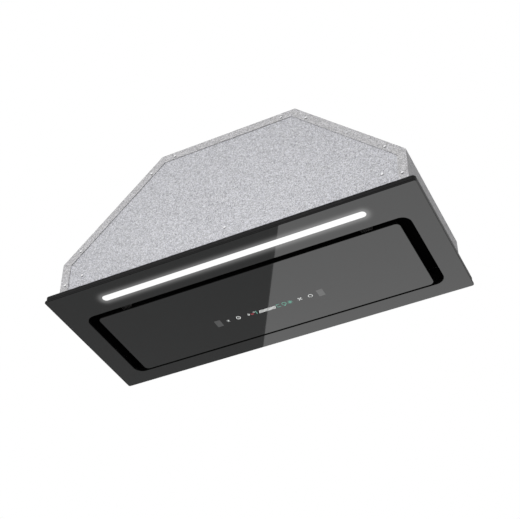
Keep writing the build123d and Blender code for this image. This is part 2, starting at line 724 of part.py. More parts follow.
def suction_liner():
    """The black three-sided wall of the suction chamber, between the tray and the deck."""
    half = CUTOUT_WIDTH / 2 + LINER_GAP
    front = LINER_FRONT
    wall = block(-half - SHEET, half + SHEET, front - SHEET, REAR_INSIDE, TRAY_FLOOR, DECK_HEIGHT)
    wall -= block(-half, half, front, REAR_INSIDE + 1, TRAY_FLOOR - 1, DECK_HEIGHT + 1)
    return wall - [
        rod((-BODY_HALF, y, z), (1, 0, 0), DRIVER_HOLE, BODY_WIDTH) for y, z in board_screw_points()
    ]


def filter_middles():
    """The X of the left and the right filter's middle."""
    reach = (FILTER_DIVIDER + FILTER_LENGTH) / 2 + FILTER_GAP
    return (-reach, reach)


def filter_room(x, extra, z_low, z_high):
    """The plan of one filter, grown by the extra on every side."""
    half = FILTER_LENGTH / 2 + extra
    return block(x - half, x + half, FILTER_FRONT - extra, FILTER_REAR + extra, z_low, z_high)


def filter_deck():
    """The black plate that closes the chamber, with an opening for each filter."""
    half = BODY_HALF - SHEET - FIT
    deck = block(-half, half, FRONT_INSIDE, REAR_INSIDE, DECK_HEIGHT, DECK_TOP)
    top = DECK_HEIGHT + DECK_FLANGE
    deck += block(-half, half, FRONT_INSIDE, FRONT_INSIDE + SHEET, DECK_HEIGHT, top)
    deck += block(-half, half, REAR_INSIDE - SHEET, REAR_INSIDE, DECK_HEIGHT, top)
    deck -= [filter_room(x, FILTER_GAP, DECK_HEIGHT - 1, DECK_TOP + 1) for x in filter_middles()]
    deck -= sheet_holes(deck_rivet_points(), RIVET_SHANK + RUNNING)
    return deck - rod((LAMP_LEAD_X, LAMP_Y, DECK_HEIGHT - 1), (0, 0, 1), LEAD_RADIUS + 1, SHEET + 2)


def filter_seats():
    """Two open frames over the deck that the filters push up into, with slots for their tongues."""
    low = DECK_TOP
    lip_low = DECK_HEIGHT + FILTER_THICKNESS + 2 * AIR
    seats = []
    for x in filter_middles():
        seat = filter_room(x, FILTER_GAP + SHEET, low, lip_low + SHEET)
        seat -= filter_room(x, FILTER_GAP, low - 1, lip_low)
        seat -= filter_room(x, FILTER_GAP - SEAT_LIP, low, lip_low + SHEET + 1)
        seat -= tongues(x, TILT_Y + 2 * TONGUE_BEAD, TONGUE_ROOM)
        seats.append(seat)
    return group(seats)


def tongues(x, rear, extra):
    """The two lips on a filter's rear edge, out to a rear line and grown sideways by the extra."""
    half = TONGUE_WIDTH / 2 + extra
    low = FILTER_MIDDLE_Z - TONGUE_THICKNESS / 2 - extra
    high = FILTER_MIDDLE_Z + TONGUE_THICKNESS / 2 + extra
    middles = [x - FILTER_LENGTH / 3, x + FILTER_LENGTH / 3]
    return [block(middle - half, middle + half, FILTER_REAR, rear, low, high) for middle in middles]


def tongue_beads(x):
    """The round ends of both lips, which the filter tilts about."""
    low_ends = [x + side * FILTER_LENGTH / 3 - TONGUE_WIDTH / 2 for side in (-1, 1)]
    return [rod((low, TILT_Y, FILTER_MIDDLE_Z), (1, 0, 0), TONGUE_BEAD, TONGUE_WIDTH) for low in low_ends]


def filter_frame(x):
    """The aluminium rim of one grease filter, with a groove for the mesh and a slot for the latch."""
    middle = FILTER_MIDDLE_Z
    low = middle - FILTER_THICKNESS / 2
    high = middle + FILTER_THICKNESS / 2
    frame = filter_room(x, 0, low, high)
    frame -= filter_room(x, -FILTER_RAIL, low - 1, high + 1)
    slack = CORE_THICKNESS / 2 + FIT
    frame -= filter_room(x, -FILTER_GROOVE, middle - slack, middle + slack)
    frame += tongues(x, TILT_Y, 0) + tongue_beads(x)
    front = FILTER_FRONT
    half = LATCH_WIDTH / 2 + FIT
    slack = LATCH_THICKNESS / 2 + FIT
    end = front + FILTER_RAIL + 1
    return frame - block(x - half, x + half, front - 1, end, middle - slack, middle + slack)


def filter_core(x):
    """The pressed grease mesh: a slab with a grid of holes and a notch for the latch."""
    low = FILTER_MIDDLE_Z - CORE_THICKNESS / 2
    high = FILTER_MIDDLE_Z + CORE_THICKNESS / 2
    core = filter_room(x, -FILTER_GROOVE - AIR, low, high)
    front = FILTER_FRONT
    notch = FILTER_RAIL + 2 * LATCH_PULL
    half = LATCH_WIDTH / 2 + LATCH_TRAVEL
    core -= block(x - half, x + half, front, front + notch, low - 1, high + 1)
    columns = int((FILTER_LENGTH - 2 * FILTER_RAIL) / CORE_PITCH)
    rows = int((FILTER_DEPTH - FILTER_RAIL - notch) / CORE_PITCH)
    y_start = front + notch + CORE_PITCH / 2
    side = CORE_HOLE / 2
    holes = []
    for column in range(columns):
        for row in range(rows):
            hole_x = x + (column - (columns - 1) / 2) * CORE_PITCH
            hole_y = y_start + row * CORE_PITCH
            holes.append(
                block(hole_x - side, hole_x + side, hole_y - side, hole_y + side, low - 1, high + 1)
            )
    return core - holes


def filter_latch(x):
    """The sliding latch in a filter's front rail, with a finger pull that hangs below it."""
    half = LATCH_WIDTH / 2
    low = FILTER_MIDDLE_Z - LATCH_THICKNESS / 2
    high = FILTER_MIDDLE_Z + LATCH_THICKNESS / 2
    nose = FILTER_FRONT - FILTER_GAP + AIR
    end = FILTER_FRONT + FILTER_RAIL + LATCH_PULL
    bar = block(x - half, x + half, nose, end, low, high)
    return bar + block(x - half, x + half, end - LATCH_TAB, end, DECK_HEIGHT - LATCH_HANG, high)


def panel_glass():
    """The glass of the drop-down panel."""
    sheet = slab(PANEL_WIDTH, PANEL_DEPTH, PANEL_CORNER, 0, GLASS_THICKNESS, PANEL_MIDDLE)
    levels = sheet.edges().group_by(Axis.Z)
    return chamfer(levels[0] + levels[-1], GLASS_ARRIS)


def panel_tape():
    """The ring of bonding tape between the panel glass and its pan."""
    gap = 2 * (PAN_MARGIN + 1)
    wide = gap + 2 * TAPE_WIDTH
    ring = slab(PANEL_WIDTH - gap, PANEL_DEPTH - gap, PANEL_CORNER, GLASS_THICKNESS, TRAY_LOW, PANEL_MIDDLE)
    return ring - slab(
        PANEL_WIDTH - wide, PANEL_DEPTH - wide, PANEL_CORNER / 2, GLASS_THICKNESS, TRAY_LOW, PANEL_MIDDLE
    )


def housing_room(extra):
    """Half length, front and rear of the control housing, grown by the extra."""
    half = HOUSING_DEPTH / 2 + extra
    return HOUSING_LENGTH / 2 + extra, DISPLAY_Y - half, DISPLAY_Y + half


def housing_screw_points():
    """Where the control housing is screwed to the pan."""
    half, front, rear = housing_room(HOUSING_FLANGE / 2)
    return [(x, y) for x in (-half, half) for y in (front, rear)]


def panel_pan():
    """The black pan that stiffens the panel glass, walled at the front and both sides."""
    pan = block(-PAN_HALF, PAN_HALF, PAN_FRONT, PAN_REAR, TRAY_LOW, PAN_FLOOR)
    half = PAN_HALF - PAN_LEDGE
    front = PAN_FRONT + PAN_LEDGE
    top = PAN_FLOOR + PAN_WALL
    wall = block(-half, half, front, PAN_REAR - PAN_LEDGE, PAN_FLOOR, top)
    wall -= block(-half + PAN_SHEET, half - PAN_SHEET, front + PAN_SHEET, PAN_REAR, PAN_FLOOR, top)
    pan += wall
    room, low, high = housing_room(FIT)
    pan -= block(-room, room, low, high, TRAY_LOW - 1, PAN_FLOOR + 1)
    points = housing_screw_points() + hinge_foot_points(-HINGE_SPREAD) + hinge_foot_points(HINGE_SPREAD)
    return pan - [rod((x, y, TRAY_LOW - 1), (0, 0, 1), SCREW_SHANK + FIT, PAN_SHEET + 2) for x, y in points]


def control_housing():
    """The plastic box behind the display, open towards the glass."""
    half, front, rear = housing_room(0)
    top = GLASS_THICKNESS + HOUSING_HEIGHT
    box = block(-half, half, front, rear, GLASS_THICKNESS, top)
    wide, low, high = housing_room(HOUSING_FLANGE)
    box += block(-wide, wide, low, high, PAN_FLOOR, PAN_FLOOR + HOUSING_WALL)
    box -= block(
        -half + HOUSING_WALL,
        half - HOUSING_WALL,
        front + HOUSING_WALL,
        rear - HOUSING_WALL,
        GLASS_THICKNESS,
        top - HOUSING_WALL,
    )
    return box - [
        rod((x, y, PAN_FLOOR), (0, 0, 1), SCREW_SHANK + FIT, HOUSING_WALL) for x, y in housing_screw_points()
    ]


def touch_board():
    """The touch board inside the housing, on the display lamps' backs."""
    half, front, rear = housing_room(-HOUSING_WALL - FIT)
    low = GLASS_THICKNESS + DISPLAY_DEPTH
    return block(-half, half, front, rear, low, low + BOARD_THICKNESS)


def display_lamps():
    """Light blocks under the touch board, one behind each symbol, and a square sensor at each end."""
    top = GLASS_THICKNESS + DISPLAY_DEPTH
    low = GLASS_THICKNESS + FIT
    reach = HOUSING_LENGTH / 2
    places = [(share * reach, SYMBOL_HALF) for share in SYMBOL_SHARES]
    places.append((SLIDER_MIDDLE_SHARE * reach, SLIDER_SHARE * reach))
    half = SENSOR_SIZE / 2
    lamps = [
        block(x - wide, x + wide, DISPLAY_Y - SYMBOL_HALF, DISPLAY_Y + SYMBOL_HALF, low, top)
        for x, wide in places
    ]
    lamps += [
        block(x - half, x + half, DISPLAY_Y - half, DISPLAY_Y + half, low, top)
        for x in (-SENSOR_SPREAD, SENSOR_SPREAD)
    ]
    return group(lamps)


def hinge_arm(x):
    """A gooseneck arm: an eye on the pin, a riser, a quarter round over the glass edge and a foot."""
    half = HINGE_PLATE / 2
    centre = (HINGE_Y, HINGE_RISE)
    outer, inner = HINGE_ROUND + half, HINGE_ROUND - half
    ring = Pos(*centre) * (Circle(outer) - Circle(inner))
    quarter = ring & (Pos(HINGE_Y - outer / 2, HINGE_RISE + outer / 2) * Rectangle(outer, outer))
    riser = Pos(HINGE_Y, HINGE_RISE + HINGE_ROUND / 2) * Rectangle(HINGE_PLATE, HINGE_ROUND)
    drop_middle = (PAN_FLOOR + HINGE_RISE) / 2
    drop = Pos(HINGE_Y - HINGE_ROUND, drop_middle) * Rectangle(HINGE_PLATE, HINGE_RISE - PAN_FLOOR)
    corner = Pos(HINGE_Y, HINGE_RISE + HINGE_ROUND) * Rectangle(HINGE_PLATE, HINGE_PLATE)
    eye = Pos(*centre) * Circle(HINGE_EYE)
    arm = along_x(quarter + riser + drop + corner + eye, x - half, x + half)
    foot_rear = PAN_REAR - FIT
    side = HINGE_FOOT_WIDTH / 2
    foot = block(
        x - side, x + side, foot_rear - HINGE_FOOT_LENGTH, foot_rear, PAN_FLOOR, PAN_FLOOR + HINGE_FOOT
    )
    arm += foot - hinge_foot_holes(x, PAN_FLOOR - 1, HINGE_FOOT + 2)
    return arm - rod((x - half - 1, HINGE_Y, HINGE_RISE), (1, 0, 0), HINGE_PIN + RUNNING, HINGE_PLATE + 2)


def hinge_foot_points(x):
    """Where one hinge foot is screwed to the pan."""
    y = PAN_REAR - FIT - FOOT_SCREW_SETBACK
    return [(x - FOOT_SCREW_SPREAD, y), (x + FOOT_SCREW_SPREAD, y)]


def hinge_foot_holes(x, z, depth):
    """The screw holes of one hinge foot."""
    return [rod((px, py, z), (0, 0, 1), SCREW_SHANK + FIT, depth) for px, py in hinge_foot_points(x)]


def hinge_arms():
    """Both gooseneck arms."""
    return group([hinge_arm(-HINGE_SPREAD), hinge_arm(HINGE_SPREAD)])


def panel_screws():
    """Screws through the control housing and the hinge feet into the pan."""
    seat = PAN_FLOOR + HOUSING_WALL
    screws = [screw((x, y, seat), (0, 0, -1), HOUSING_WALL + PAN_SHEET) for x, y in housing_screw_points()]
    seat = PAN_FLOOR + HINGE_FOOT
    points = hinge_foot_points(-HINGE_SPREAD) + hinge_foot_points(HINGE_SPREAD)
    screws += [screw((x, y, seat), (0, 0, -1), HINGE_FOOT + PAN_SHEET) for x, y in points]
    return group(screws)


def hinge_bracket(x):
    """A back plate on the rear sheet with two ears that hold the hinge pin."""
    gap = HINGE_PLATE / 2 + HINGE_CHEEK_GAP
    low = GLASS_THICKNESS + EAR_RISE
    high = HINGE_RISE + HINGE_EYE + EAR_MARGIN
    plate_low = HINGE_RISE + HINGE_EYE + EAR_PLATE_RISE
    plate_high = plate_low + EAR_PLATE_HEIGHT
    plate_front = REAR_INSIDE - HINGE_EAR
    bracket = block(x - EAR_PLATE_HALF, x + EAR_PLATE_HALF, plate_front, REAR_INSIDE, plate_low, plate_high)
    for start in (x - gap - HINGE_EAR, x + gap):
        bracket += block(start, start + HINGE_EAR, HINGE_Y - HINGE_EYE, REAR_INSIDE, low, high)
    return bracket - rod((x - EAR_PLATE_HALF, HINGE_Y, HINGE_RISE), (1, 0, 0), HINGE_BORE, 2 * EAR_PLATE_HALF)


def hinge_brackets():
    """Both hinge brackets."""
    return group([hinge_bracket(-HINGE_SPREAD), hinge_bracket(HINGE_SPREAD)])


def hinge_pins():
    """The two hinge pins."""
    half = HINGE_PLATE / 2 + HINGE_CHEEK_GAP + HINGE_EAR + PIN_END
    return group(
        [
            rod((x - half, HINGE_Y, HINGE_RISE), (1, 0, 0), HINGE_PIN, 2 * half)
            for x in (-HINGE_SPREAD, HINGE_SPREAD)
        ]
    )


def catch_room(x, z_low, z_high):
    """The plan of one magnet over the pan's front ledge."""
    half = CATCH_WIDTH / 2
    return block(x - half, x + half, PAN_FRONT + FIT, CATCH_END, z_low, z_high)


def strike_plates():
    """Steel plates on the pan's front ledge."""
    return group([catch_room(x, PAN_FLOOR, PAN_FLOOR + STRIKE_HEIGHT) for x in (-CATCH_SPREAD, CATCH_SPREAD)])


def panel_magnets():
    """Magnets over the strike plates."""
    low = PAN_FLOOR + STRIKE_HEIGHT + AIR
    return group([catch_room(x, low, low + MAGNET_HEIGHT) for x in (-CATCH_SPREAD, CATCH_SPREAD)])


def magnet_bracket(x):
    """A bent strap that carries a magnet across the front slot."""
    half = CATCH_WIDTH / 2
    edge = CUT_FRONT - TRAY_RELIEF
    strap_low = PAN_FLOOR + STRIKE_HEIGHT + AIR + MAGNET_HEIGHT
    strap = block(x - half, x + half, edge - CATCH_FOOT, edge, TRAY_FLOOR, TRAY_FLOOR + TRAY_SHEET)
    strap += block(x - half, x + half, edge - TRAY_SHEET, edge, TRAY_FLOOR, strap_low + TRAY_SHEET)
    return strap + block(
        x - half,
        x + half,
        edge - TRAY_SHEET,
        CATCH_END,
        strap_low,
        strap_low + TRAY_SHEET,
    )


def magnet_brackets():
    """Both magnet straps."""
    return group([magnet_bracket(-CATCH_SPREAD), magnet_bracket(CATCH_SPREAD)])


def scroll_outline(wall, top):
    """The scroll in Y and Z, grown outwards by the wall: three arcs, then straight up to the outlet."""
    radius = SCROLL_RADIUS + wall
    front = THROAT_FRONT - wall
    rear = THROAT_REAR + wall
    start = degrees(acos((front - FIRST_ARC[0]) / radius))
    start_z = FIRST_ARC[1] + radius * sin(radians(start))
    return make_face(
        [
            CenterArc(FIRST_ARC, radius, start, 2 * QUARTER_TURN - start),
            CenterArc(SECOND_ARC, radius + SCROLL_GROWTH, 2 * QUARTER_TURN, QUARTER_TURN),
            CenterArc(THIRD_ARC, radius + 2 * SCROLL_GROWTH, 3 * QUARTER_TURN, QUARTER_TURN),
            Line((rear, THIRD_ARC[1]), (rear, top)),
            Line((rear, top), (front, top)),
            Line((front, top), (front, start_z)),
        ]
    )


def blower_band():
    """The curved strip of the scroll housing."""
    shell = scroll_outline(SCROLL_SHEET, THROAT_TOP) - scroll_outline(0, THROAT_TOP + 1)
    return along_x(shell, -SCROLL_WIDTH / 2, SCROLL_WIDTH / 2)


def blower_side(x_low):
    """A side plate of the scroll housing with its round inlet."""
    plate = along_x(scroll_outline(SCROLL_SHEET, THROAT_TOP), x_low, x_low + SCROLL_SHEET)
    plate -= rod((x_low - 1, BLOWER_Y, BLOWER_Z), (1, 0, 0), INLET_RADIUS, SCROLL_SHEET + 2)
    return plate - spider_screw_holes(x_low - 1)


def blower_sides():
    """The left and the right side plate."""
    return group([blower_side(-SCROLL_WIDTH / 2 - SCROLL_SHEET), blower_side(SCROLL_WIDTH / 2)])


def inlet_ring(side):
    """A bell mouth in one inlet: a flat rim outside and a lip that points at the impeller."""
    x = side * (SCROLL_WIDTH / 2 + SCROLL_SHEET)
    axis = (side, 0, 0)
    inner = INLET_RADIUS - INLET_SHEET
    rim = tube((x, BLOWER_Y, BLOWER_Z), axis, SPIDER_RADIUS, inner, SCROLL_SHEET)
    lip_start = (x - side * (SCROLL_SHEET + INLET_LIP), BLOWER_Y, BLOWER_Z)
    ring = rim + tube(lip_start, axis, INLET_RADIUS - FIT, inner, SCROLL_SHEET + INLET_LIP)
    return ring - spider_screw_holes(min(x, x + side * SCROLL_SHEET) - 1)


def inlet_rings():
    """The bell mouths of both inlets."""
    return group([inlet_ring(-1), inlet_ring(1)])


def spider_screw_points():
    """Screws around both inlets, as Y and Z."""
    reach = SPIDER_RADIUS - SPIDER_RIM / 2
    turns = [radians(angle) for angle in SPIDER_ANGLES]
    return [(BLOWER_Y + reach * cos(turn), BLOWER_Z + reach * sin(turn)) for turn in turns]


def spider_screw_holes(x):
    """The holes for those screws, from one X on."""
    return [rod((x, y, z), (1, 0, 0), SCREW_SHANK + FIT, SPIDER_SHEET + 2) for y, z in spider_screw_points()]


def impeller():
    """The drum: a middle disc with a hub, and an end ring each side."""
    half = IMPELLER_LENGTH / 2
    centre = Pos(BLOWER_Y, BLOWER_Z)
    ring = Circle(IMPELLER_RADIUS) - Circle(BLADE_ROOT - 2 * BLADE_INSET)
    disc = Circle(IMPELLER_RADIUS) - Circle(SHAFT_RADIUS + RUNNING)
    hub = Circle(HUB_RADIUS) - Circle(SHAFT_RADIUS + RUNNING)
    middle = along_x(centre * disc, -DRUM_RING / 2, DRUM_RING / 2)
    middle += along_x(centre * hub, -HUB_LENGTH / 2, HUB_LENGTH / 2)
    left = along_x(centre * ring, -half, -half + DRUM_RING)
    right = along_x(centre * ring, half - DRUM_RING, half)
    return group([middle, left, right])


def impeller_blades():
    """Forward-curved blades, crimped between the middle disc and each end ring."""
    start = BLADE_ROOT - BLADE_INSET
    tip = IMPELLER_RADIUS - BLADE_INSET
    belly = BLADE_ROOT + BLADE_DEPTH / 2
    thick = BLADE_THICKNESS
    blade = make_face(
        [
            ThreePointArc((start, 0), (belly, BLADE_BELLY), (tip, BLADE_TIP)),
            Line((tip, BLADE_TIP), (tip, BLADE_TIP + thick)),
            ThreePointArc((tip, BLADE_TIP + thick), (belly, BLADE_BELLY + thick), (start, thick)),
            Line((start, thick), (start, 0)),
        ]
    )
    centre = Pos(BLOWER_Y, BLOWER_Z)
    blades = [centre * Rot(Z=360 * index / BLADE_COUNT) * blade for index in range(BLADE_COUNT)]
    end = IMPELLER_LENGTH / 2 - DRUM_RING
    spans = ((-end, -DRUM_RING / 2), (DRUM_RING / 2, end))
    return group([along_x(blade, low, high) for blade in blades for low, high in spans])


def motor_shaft():
    """The shaft, carried in both motor bearings and through the impeller's hub."""
    start = MOTOR_OUTER + SHAFT_START
    end = HUB_LENGTH / 2 + NUT_HEIGHT + SHAFT_TAIL
    return rod((start, BLOWER_Y, BLOWER_Z), (1, 0, 0), SHAFT_RADIUS, end - start)


def impeller_nut():
    """The nut that holds the hub on the shaft."""
    hexagon = RegularPolygon(NUT_RADIUS, 6) - Circle(SHAFT_RADIUS + RUNNING)
    start = HUB_LENGTH / 2
    return along_x(Pos(BLOWER_Y, BLOWER_Z) * hexagon, start, start + NUT_HEIGHT)


def motor_can():
    """The motor's round shell with a bearing seat in each end."""
    can = rod((MOTOR_OUTER, BLOWER_Y, BLOWER_Z), (1, 0, 0), MOTOR_RADIUS, MOTOR_LENGTH)
    hollow = MOTOR_LENGTH - 2 * BEARING_WIDTH
    inside = (MOTOR_OUTER + BEARING_WIDTH, BLOWER_Y, BLOWER_Z)
    outside = (MOTOR_OUTER - 1, BLOWER_Y, BLOWER_Z)
    can -= rod(inside, (1, 0, 0), MOTOR_RADIUS - MOTOR_SHELL, hollow)
    return can - rod(outside, (1, 0, 0), BEARING_RADIUS + RUNNING, MOTOR_LENGTH + 2)


def motor_bearings():
    """A ball bearing in each end of the motor, drawn as a plain ring."""
    return group(
        [
            tube((x, BLOWER_Y, BLOWER_Z), (1, 0, 0), BEARING_RADIUS, SHAFT_RADIUS + RUNNING, BEARING_WIDTH)
            for x in (MOTOR_OUTER, MOTOR_INNER - BEARING_WIDTH)
        ]
    )


def motor_stator():
    """The wound stack, a ring inside the motor's shell."""
    start = MOTOR_OUTER + 2 * BEARING_WIDTH
    length = MOTOR_LENGTH - 4 * BEARING_WIDTH
    centre = (start, BLOWER_Y, BLOWER_Z)
    outer = MOTOR_RADIUS - MOTOR_SHELL - RUNNING
    return tube(centre, (1, 0, 0), outer, ROTOR_RADIUS + ROTOR_GAP, length)


def motor_rotor():
    """The rotor on the shaft, inside the stack."""
    start = MOTOR_OUTER + 2 * BEARING_WIDTH
    length = MOTOR_LENGTH - 4 * BEARING_WIDTH
    return tube((start, BLOWER_Y, BLOWER_Z), (1, 0, 0), ROTOR_RADIUS, SHAFT_RADIUS + RUNNING, length)


def motor_bracket():
    """The three-armed plate over the left inlet that carries the motor."""
    outer = Circle(SPIDER_RADIUS) - Circle(SPIDER_RADIUS - SPIDER_RIM)
    middle = Circle(BUSH_CIRCLE + BUSH_RADIUS) - Circle(BUSH_CIRCLE - SPIDER_ARM)
    reach = SPIDER_RADIUS - SPIDER_RIM / 2
    arms = [
        Rot(Z=angle) * Pos(reach / 2 + BUSH_CIRCLE / 2, 0) * Rectangle(reach - BUSH_CIRCLE, SPIDER_ARM)
        for angle in SPIDER_ANGLES
    ]
    plate = outer + middle + arms
    bracket = along_x(Pos(BLOWER_Y, BLOWER_Z) * plate, SPIDER_START, SPIDER_START + SPIDER_SHEET)
    return bracket - spider_screw_holes(SPIDER_START - 1)


def motor_bushes():
    """Rubber bushes between the motor bracket and the motor."""
    start = SPIDER_START + SPIDER_SHEET
    length = MOTOR_OUTER - start
    bushes = []
    for angle in SPIDER_ANGLES:
        y = BLOWER_Y + BUSH_CIRCLE * cos(radians(angle))
        z = BLOWER_Z + BUSH_CIRCLE * sin(radians(angle))
        bushes.append(rod((start, y, z), (1, 0, 0), BUSH_RADIUS, length))
    return group(bushes)


def blower_feet():
    """Two blocks that stand on the deck and follow the scroll above them."""
    y_high = FILTER_FRONT - FILTER_GAP - SHEET - FOOT_MARGIN
    y_low = y_high - FOOT_DEPTH
    middle = SCROLL_WIDTH / 2 - FOOT_INSET
    reach = FOOT_HALF + 1
    scroll = scroll_outline(SCROLL_SHEET + RUNNING, THROAT_TOP)
    feet = []
    for x in (-middle, middle):
        foot = block(x - FOOT_HALF, x + FOOT_HALF, y_low, y_high, DECK_TOP, BLOWER_Z)
        feet.append(foot - along_x(scroll, x - reach, x + reach))
    return group(feet)


def outlet_screw_holes(z, depth):
    """The four screw holes around the outlet."""
    return [rod((x, y, z), (0, 0, 1), SCREW_SHANK + FIT, depth) for x, y in outlet_screw_points()]


def outlet_screw_points():
    """Where the collar is screwed through the casing's top."""
    reach = (COLLAR_FLANGE + DUCT_RADIUS) / 2 * sqrt(0.5)
    return [(x, OUTLET_Y + y) for x in (-reach, reach) for y in (-reach, reach)]


def throat_plate():
    """The plate under the casing's top that joins the scroll's square throat to the round outlet."""
    top = BODY_TOP - SHEET
    half = SCROLL_WIDTH / 2
    wide = half + THROAT_MARGIN
    front, rear = OUTLET_Y - COLLAR_FLANGE, OUTLET_Y + COLLAR_FLANGE
    plate = block(-wide, wide, front, rear, THROAT_TOP, top)
    plate -= block(-half, half, THROAT_FRONT, THROAT_REAR, THROAT_TOP - 1, top + 1)
    return plate - outlet_screw_holes(THROAT_TOP - 1, 4)


def outlet_collar():
    """The plastic duct collar with its stop ledge, crossbar and pin holes."""
    centre = (0, OUTLET_Y, BODY_TOP)
    bore = DUCT_RADIUS - COLLAR_WALL
    collar = tube(centre, (0, 0, 1), DUCT_RADIUS, bore, COLLAR_HEIGHT)
    collar += tube(centre, (0, 0, 1), COLLAR_FLANGE, bore, COLLAR_PLATE)
    ledge_low = DAMPER_Z - DAMPER_KNUCKLE - DAMPER_PLATE - AIR
    ledge = (0, OUTLET_Y, ledge_low)
    collar += tube(ledge, (0, 0, 1), bore + COLLAR_WALL / 2, bore - DAMPER_LEDGE, DAMPER_PLATE)
    half = DAMPER_PITCH / 2 - DAMPER_KNUCKLE - AIR
    reach = sqrt(bore**2 - half**2) + COLLAR_WALL / 2
    collar += block(-reach, reach, OUTLET_Y - half, OUTLET_Y + half, ledge_low, DAMPER_Z + DAMPER_KNUCKLE)
    collar -= outlet_screw_holes(BODY_TOP - 1, COLLAR_PLATE + 2)
    trough = bore - DAMPER_LEDGE - 1
    for side in (-1, 1):
        pin_y = OUTLET_Y + side * DAMPER_PITCH / 2
        collar -= rod((-COLLAR_FLANGE, pin_y, DAMPER_Z), (1, 0, 0), DAMPER_BORE, 2 * COLLAR_FLANGE)
        low, high = sorted((OUTLET_Y + side * half, pin_y + side * (DAMPER_KNUCKLE + AIR)))
        collar -= block(-trough, trough, low, high, ledge_low - 1, DAMPER_Z + DAMPER_KNUCKLE + 1)
    return collar


def casing_screws():
    """Screws of the outlet collar, the lamp channel and the motor bracket."""
    seat = BODY_TOP + COLLAR_PLATE
    length = COLLAR_PLATE + BODY_TOP - THROAT_TOP
    screws = [screw((x, y, seat), (0, 0, -1), length) for x, y in outlet_screw_points()]
    seat = TRAY_FLOOR + CHANNEL_WALL
    screws += [screw((x, y, seat), (0, 0, -1), CHANNEL_WALL + TRAY_SHEET) for x, y in lamp_screw_points()]
    length = SPIDER_SHEET + 2 * SCROLL_SHEET
    screws += [screw((SPIDER_START, y, z), (1, 0, 0), length) for y, z in spider_screw_points()]
    return group(screws)


def damper_pins():
    """The two pins across the collar."""
    reach = sqrt(DUCT_RADIUS**2 - (DAMPER_PITCH / 2) ** 2) - PIN_INSET
    return group(
        [
            rod((-reach, OUTLET_Y + y, DAMPER_Z), (1, 0, 0), DAMPER_PIN, 2 * reach)
            for y in (-DAMPER_PITCH / 2, DAMPER_PITCH / 2)
        ]
    )


def damper_flap(side):
    """A half-round flap with two knuckles on its pin, lying on the collar's ledge."""
    radius = DUCT_RADIUS - COLLAR_WALL - FLAP_GAP
    pin_y = OUTLET_Y + side * DAMPER_PITCH / 2
    low = DAMPER_Z - DAMPER_KNUCKLE
    edge = pin_y + side * (DAMPER_PIN + FLAP_STEP)
    far = OUTLET_Y + side * 2 * radius
    disc = rod((0, OUTLET_Y, low), (0, 0, 1), radius, DAMPER_PLATE)
    flap = disc & block(-2 * radius, 2 * radius, min(edge, far), max(edge, far), low, low + DAMPER_PLATE)
    for x in (-KNUCKLE_SPREAD, KNUCKLE_SPREAD):
        flap += rod((x - KNUCKLE_WIDTH / 2, pin_y, DAMPER_Z), (1, 0, 0), DAMPER_KNUCKLE, KNUCKLE_WIDTH)
    return flap - rod((-2 * radius, pin_y, DAMPER_Z), (1, 0, 0), DAMPER_PIN + RUNNING, 4 * radius)


def control_box():
    """The plastic box for the mains board, open at the top."""
    left, right, front, rear, top = BOX_LEFT, BOX_RIGHT, BOX_FRONT, BOX_REAR, BOX_TOP
    box = block(left, right, front, rear, DECK_TOP, top)
    box -= block(
        left + BOX_WALL, right - BOX_WALL, front + BOX_WALL, rear - BOX_WALL, DECK_TOP + BOX_WALL, top
    )
    box = fillet(box.edges().filter_by(Axis.Z).group_by(SortBy.LENGTH)[-1], BOX_WALL / 2)
    return box - rod((right - BOX_WALL - 1, LEAD_Y, LEAD_Z), (1, 0, 0), LEAD_RADIUS + RUNNING, BOX_WALL + 2)


def control_lid():
    """The lid of the control box, with a skirt that drops inside it."""
    left, right, front, rear, top = BOX_LEFT, BOX_RIGHT, BOX_FRONT, BOX_REAR, BOX_TOP
    lid = block(left, right, front, rear, top, top + BOX_WALL)
    step = BOX_WALL + FIT
    low = top - LID_SKIRT
    skirt = block(left + step, right - step, front + step, rear - step, low, top)
    skirt -= block(left + 2 * step, right - 2 * step, front + 2 * step, rear - 2 * step, low, top)
    return lid + skirt


def standing(x, y, z, size):
    """A block that stands on a level, given by its low corner and its size."""
    return block(x, x + size[0], y, y + size[1], z, z + size[2])


def power_board():
    """The mains board with its transformer, relays, smoothing capacitors and supply terminals."""
    step = BOX_WALL + 1
    front, rear = BOX_FRONT + step, BOX_REAR - step
    low = DECK_TOP + BOX_WALL
    pieces = [block(BOX_LEFT + step, BOX_RIGHT - step, front, rear, low, low + BOARD_THICKNESS)]
    low += BOARD_THICKNESS
    left = BOX_LEFT + BOARD_MARGIN
    front = BOX_FRONT + BOARD_MARGIN
    rear = BOX_REAR - BOARD_MARGIN
    pieces.append(standing(left, front, low, TRANSFORMER))
    next_x = left + TRANSFORMER[0] + BOARD_MARGIN
    pieces += [standing(next_x + index * RELAY_PITCH, front, low, RELAY) for index in range(RELAY_COUNT)]
    for index in range(SMOOTHER_COUNT):
        x = next_x + (index + 1) * SMOOTHER_PITCH
        pieces.append(rod((x, rear - SMOOTHER_RADIUS, low), (0, 0, 1), SMOOTHER_RADIUS, SMOOTHER_HEIGHT))
    terminals = standing(left, rear - TERMINALS[1], low, TERMINALS)
    pitch = TERMINALS[0] / TERMINAL_COUNT
    well = (rear - TERMINALS[1] / 2, low + TERMINALS[2] / 2)
    terminals -= [
        rod((left + pitch * (index + 0.5), *well), (0, 0, 1), TERMINAL_WELL, TERMINALS[2])
        for index in range(TERMINAL_COUNT)
    ]
    return group(pieces + [terminals])


def lamp_driver():
    """The lamp's power supply on the deck."""
    size = (DRIVER_LENGTH, DRIVER_DEPTH, DRIVER_HEIGHT)
    return standing(DRIVER_END - DRIVER_LENGTH, BOX_FRONT, DECK_TOP, size)


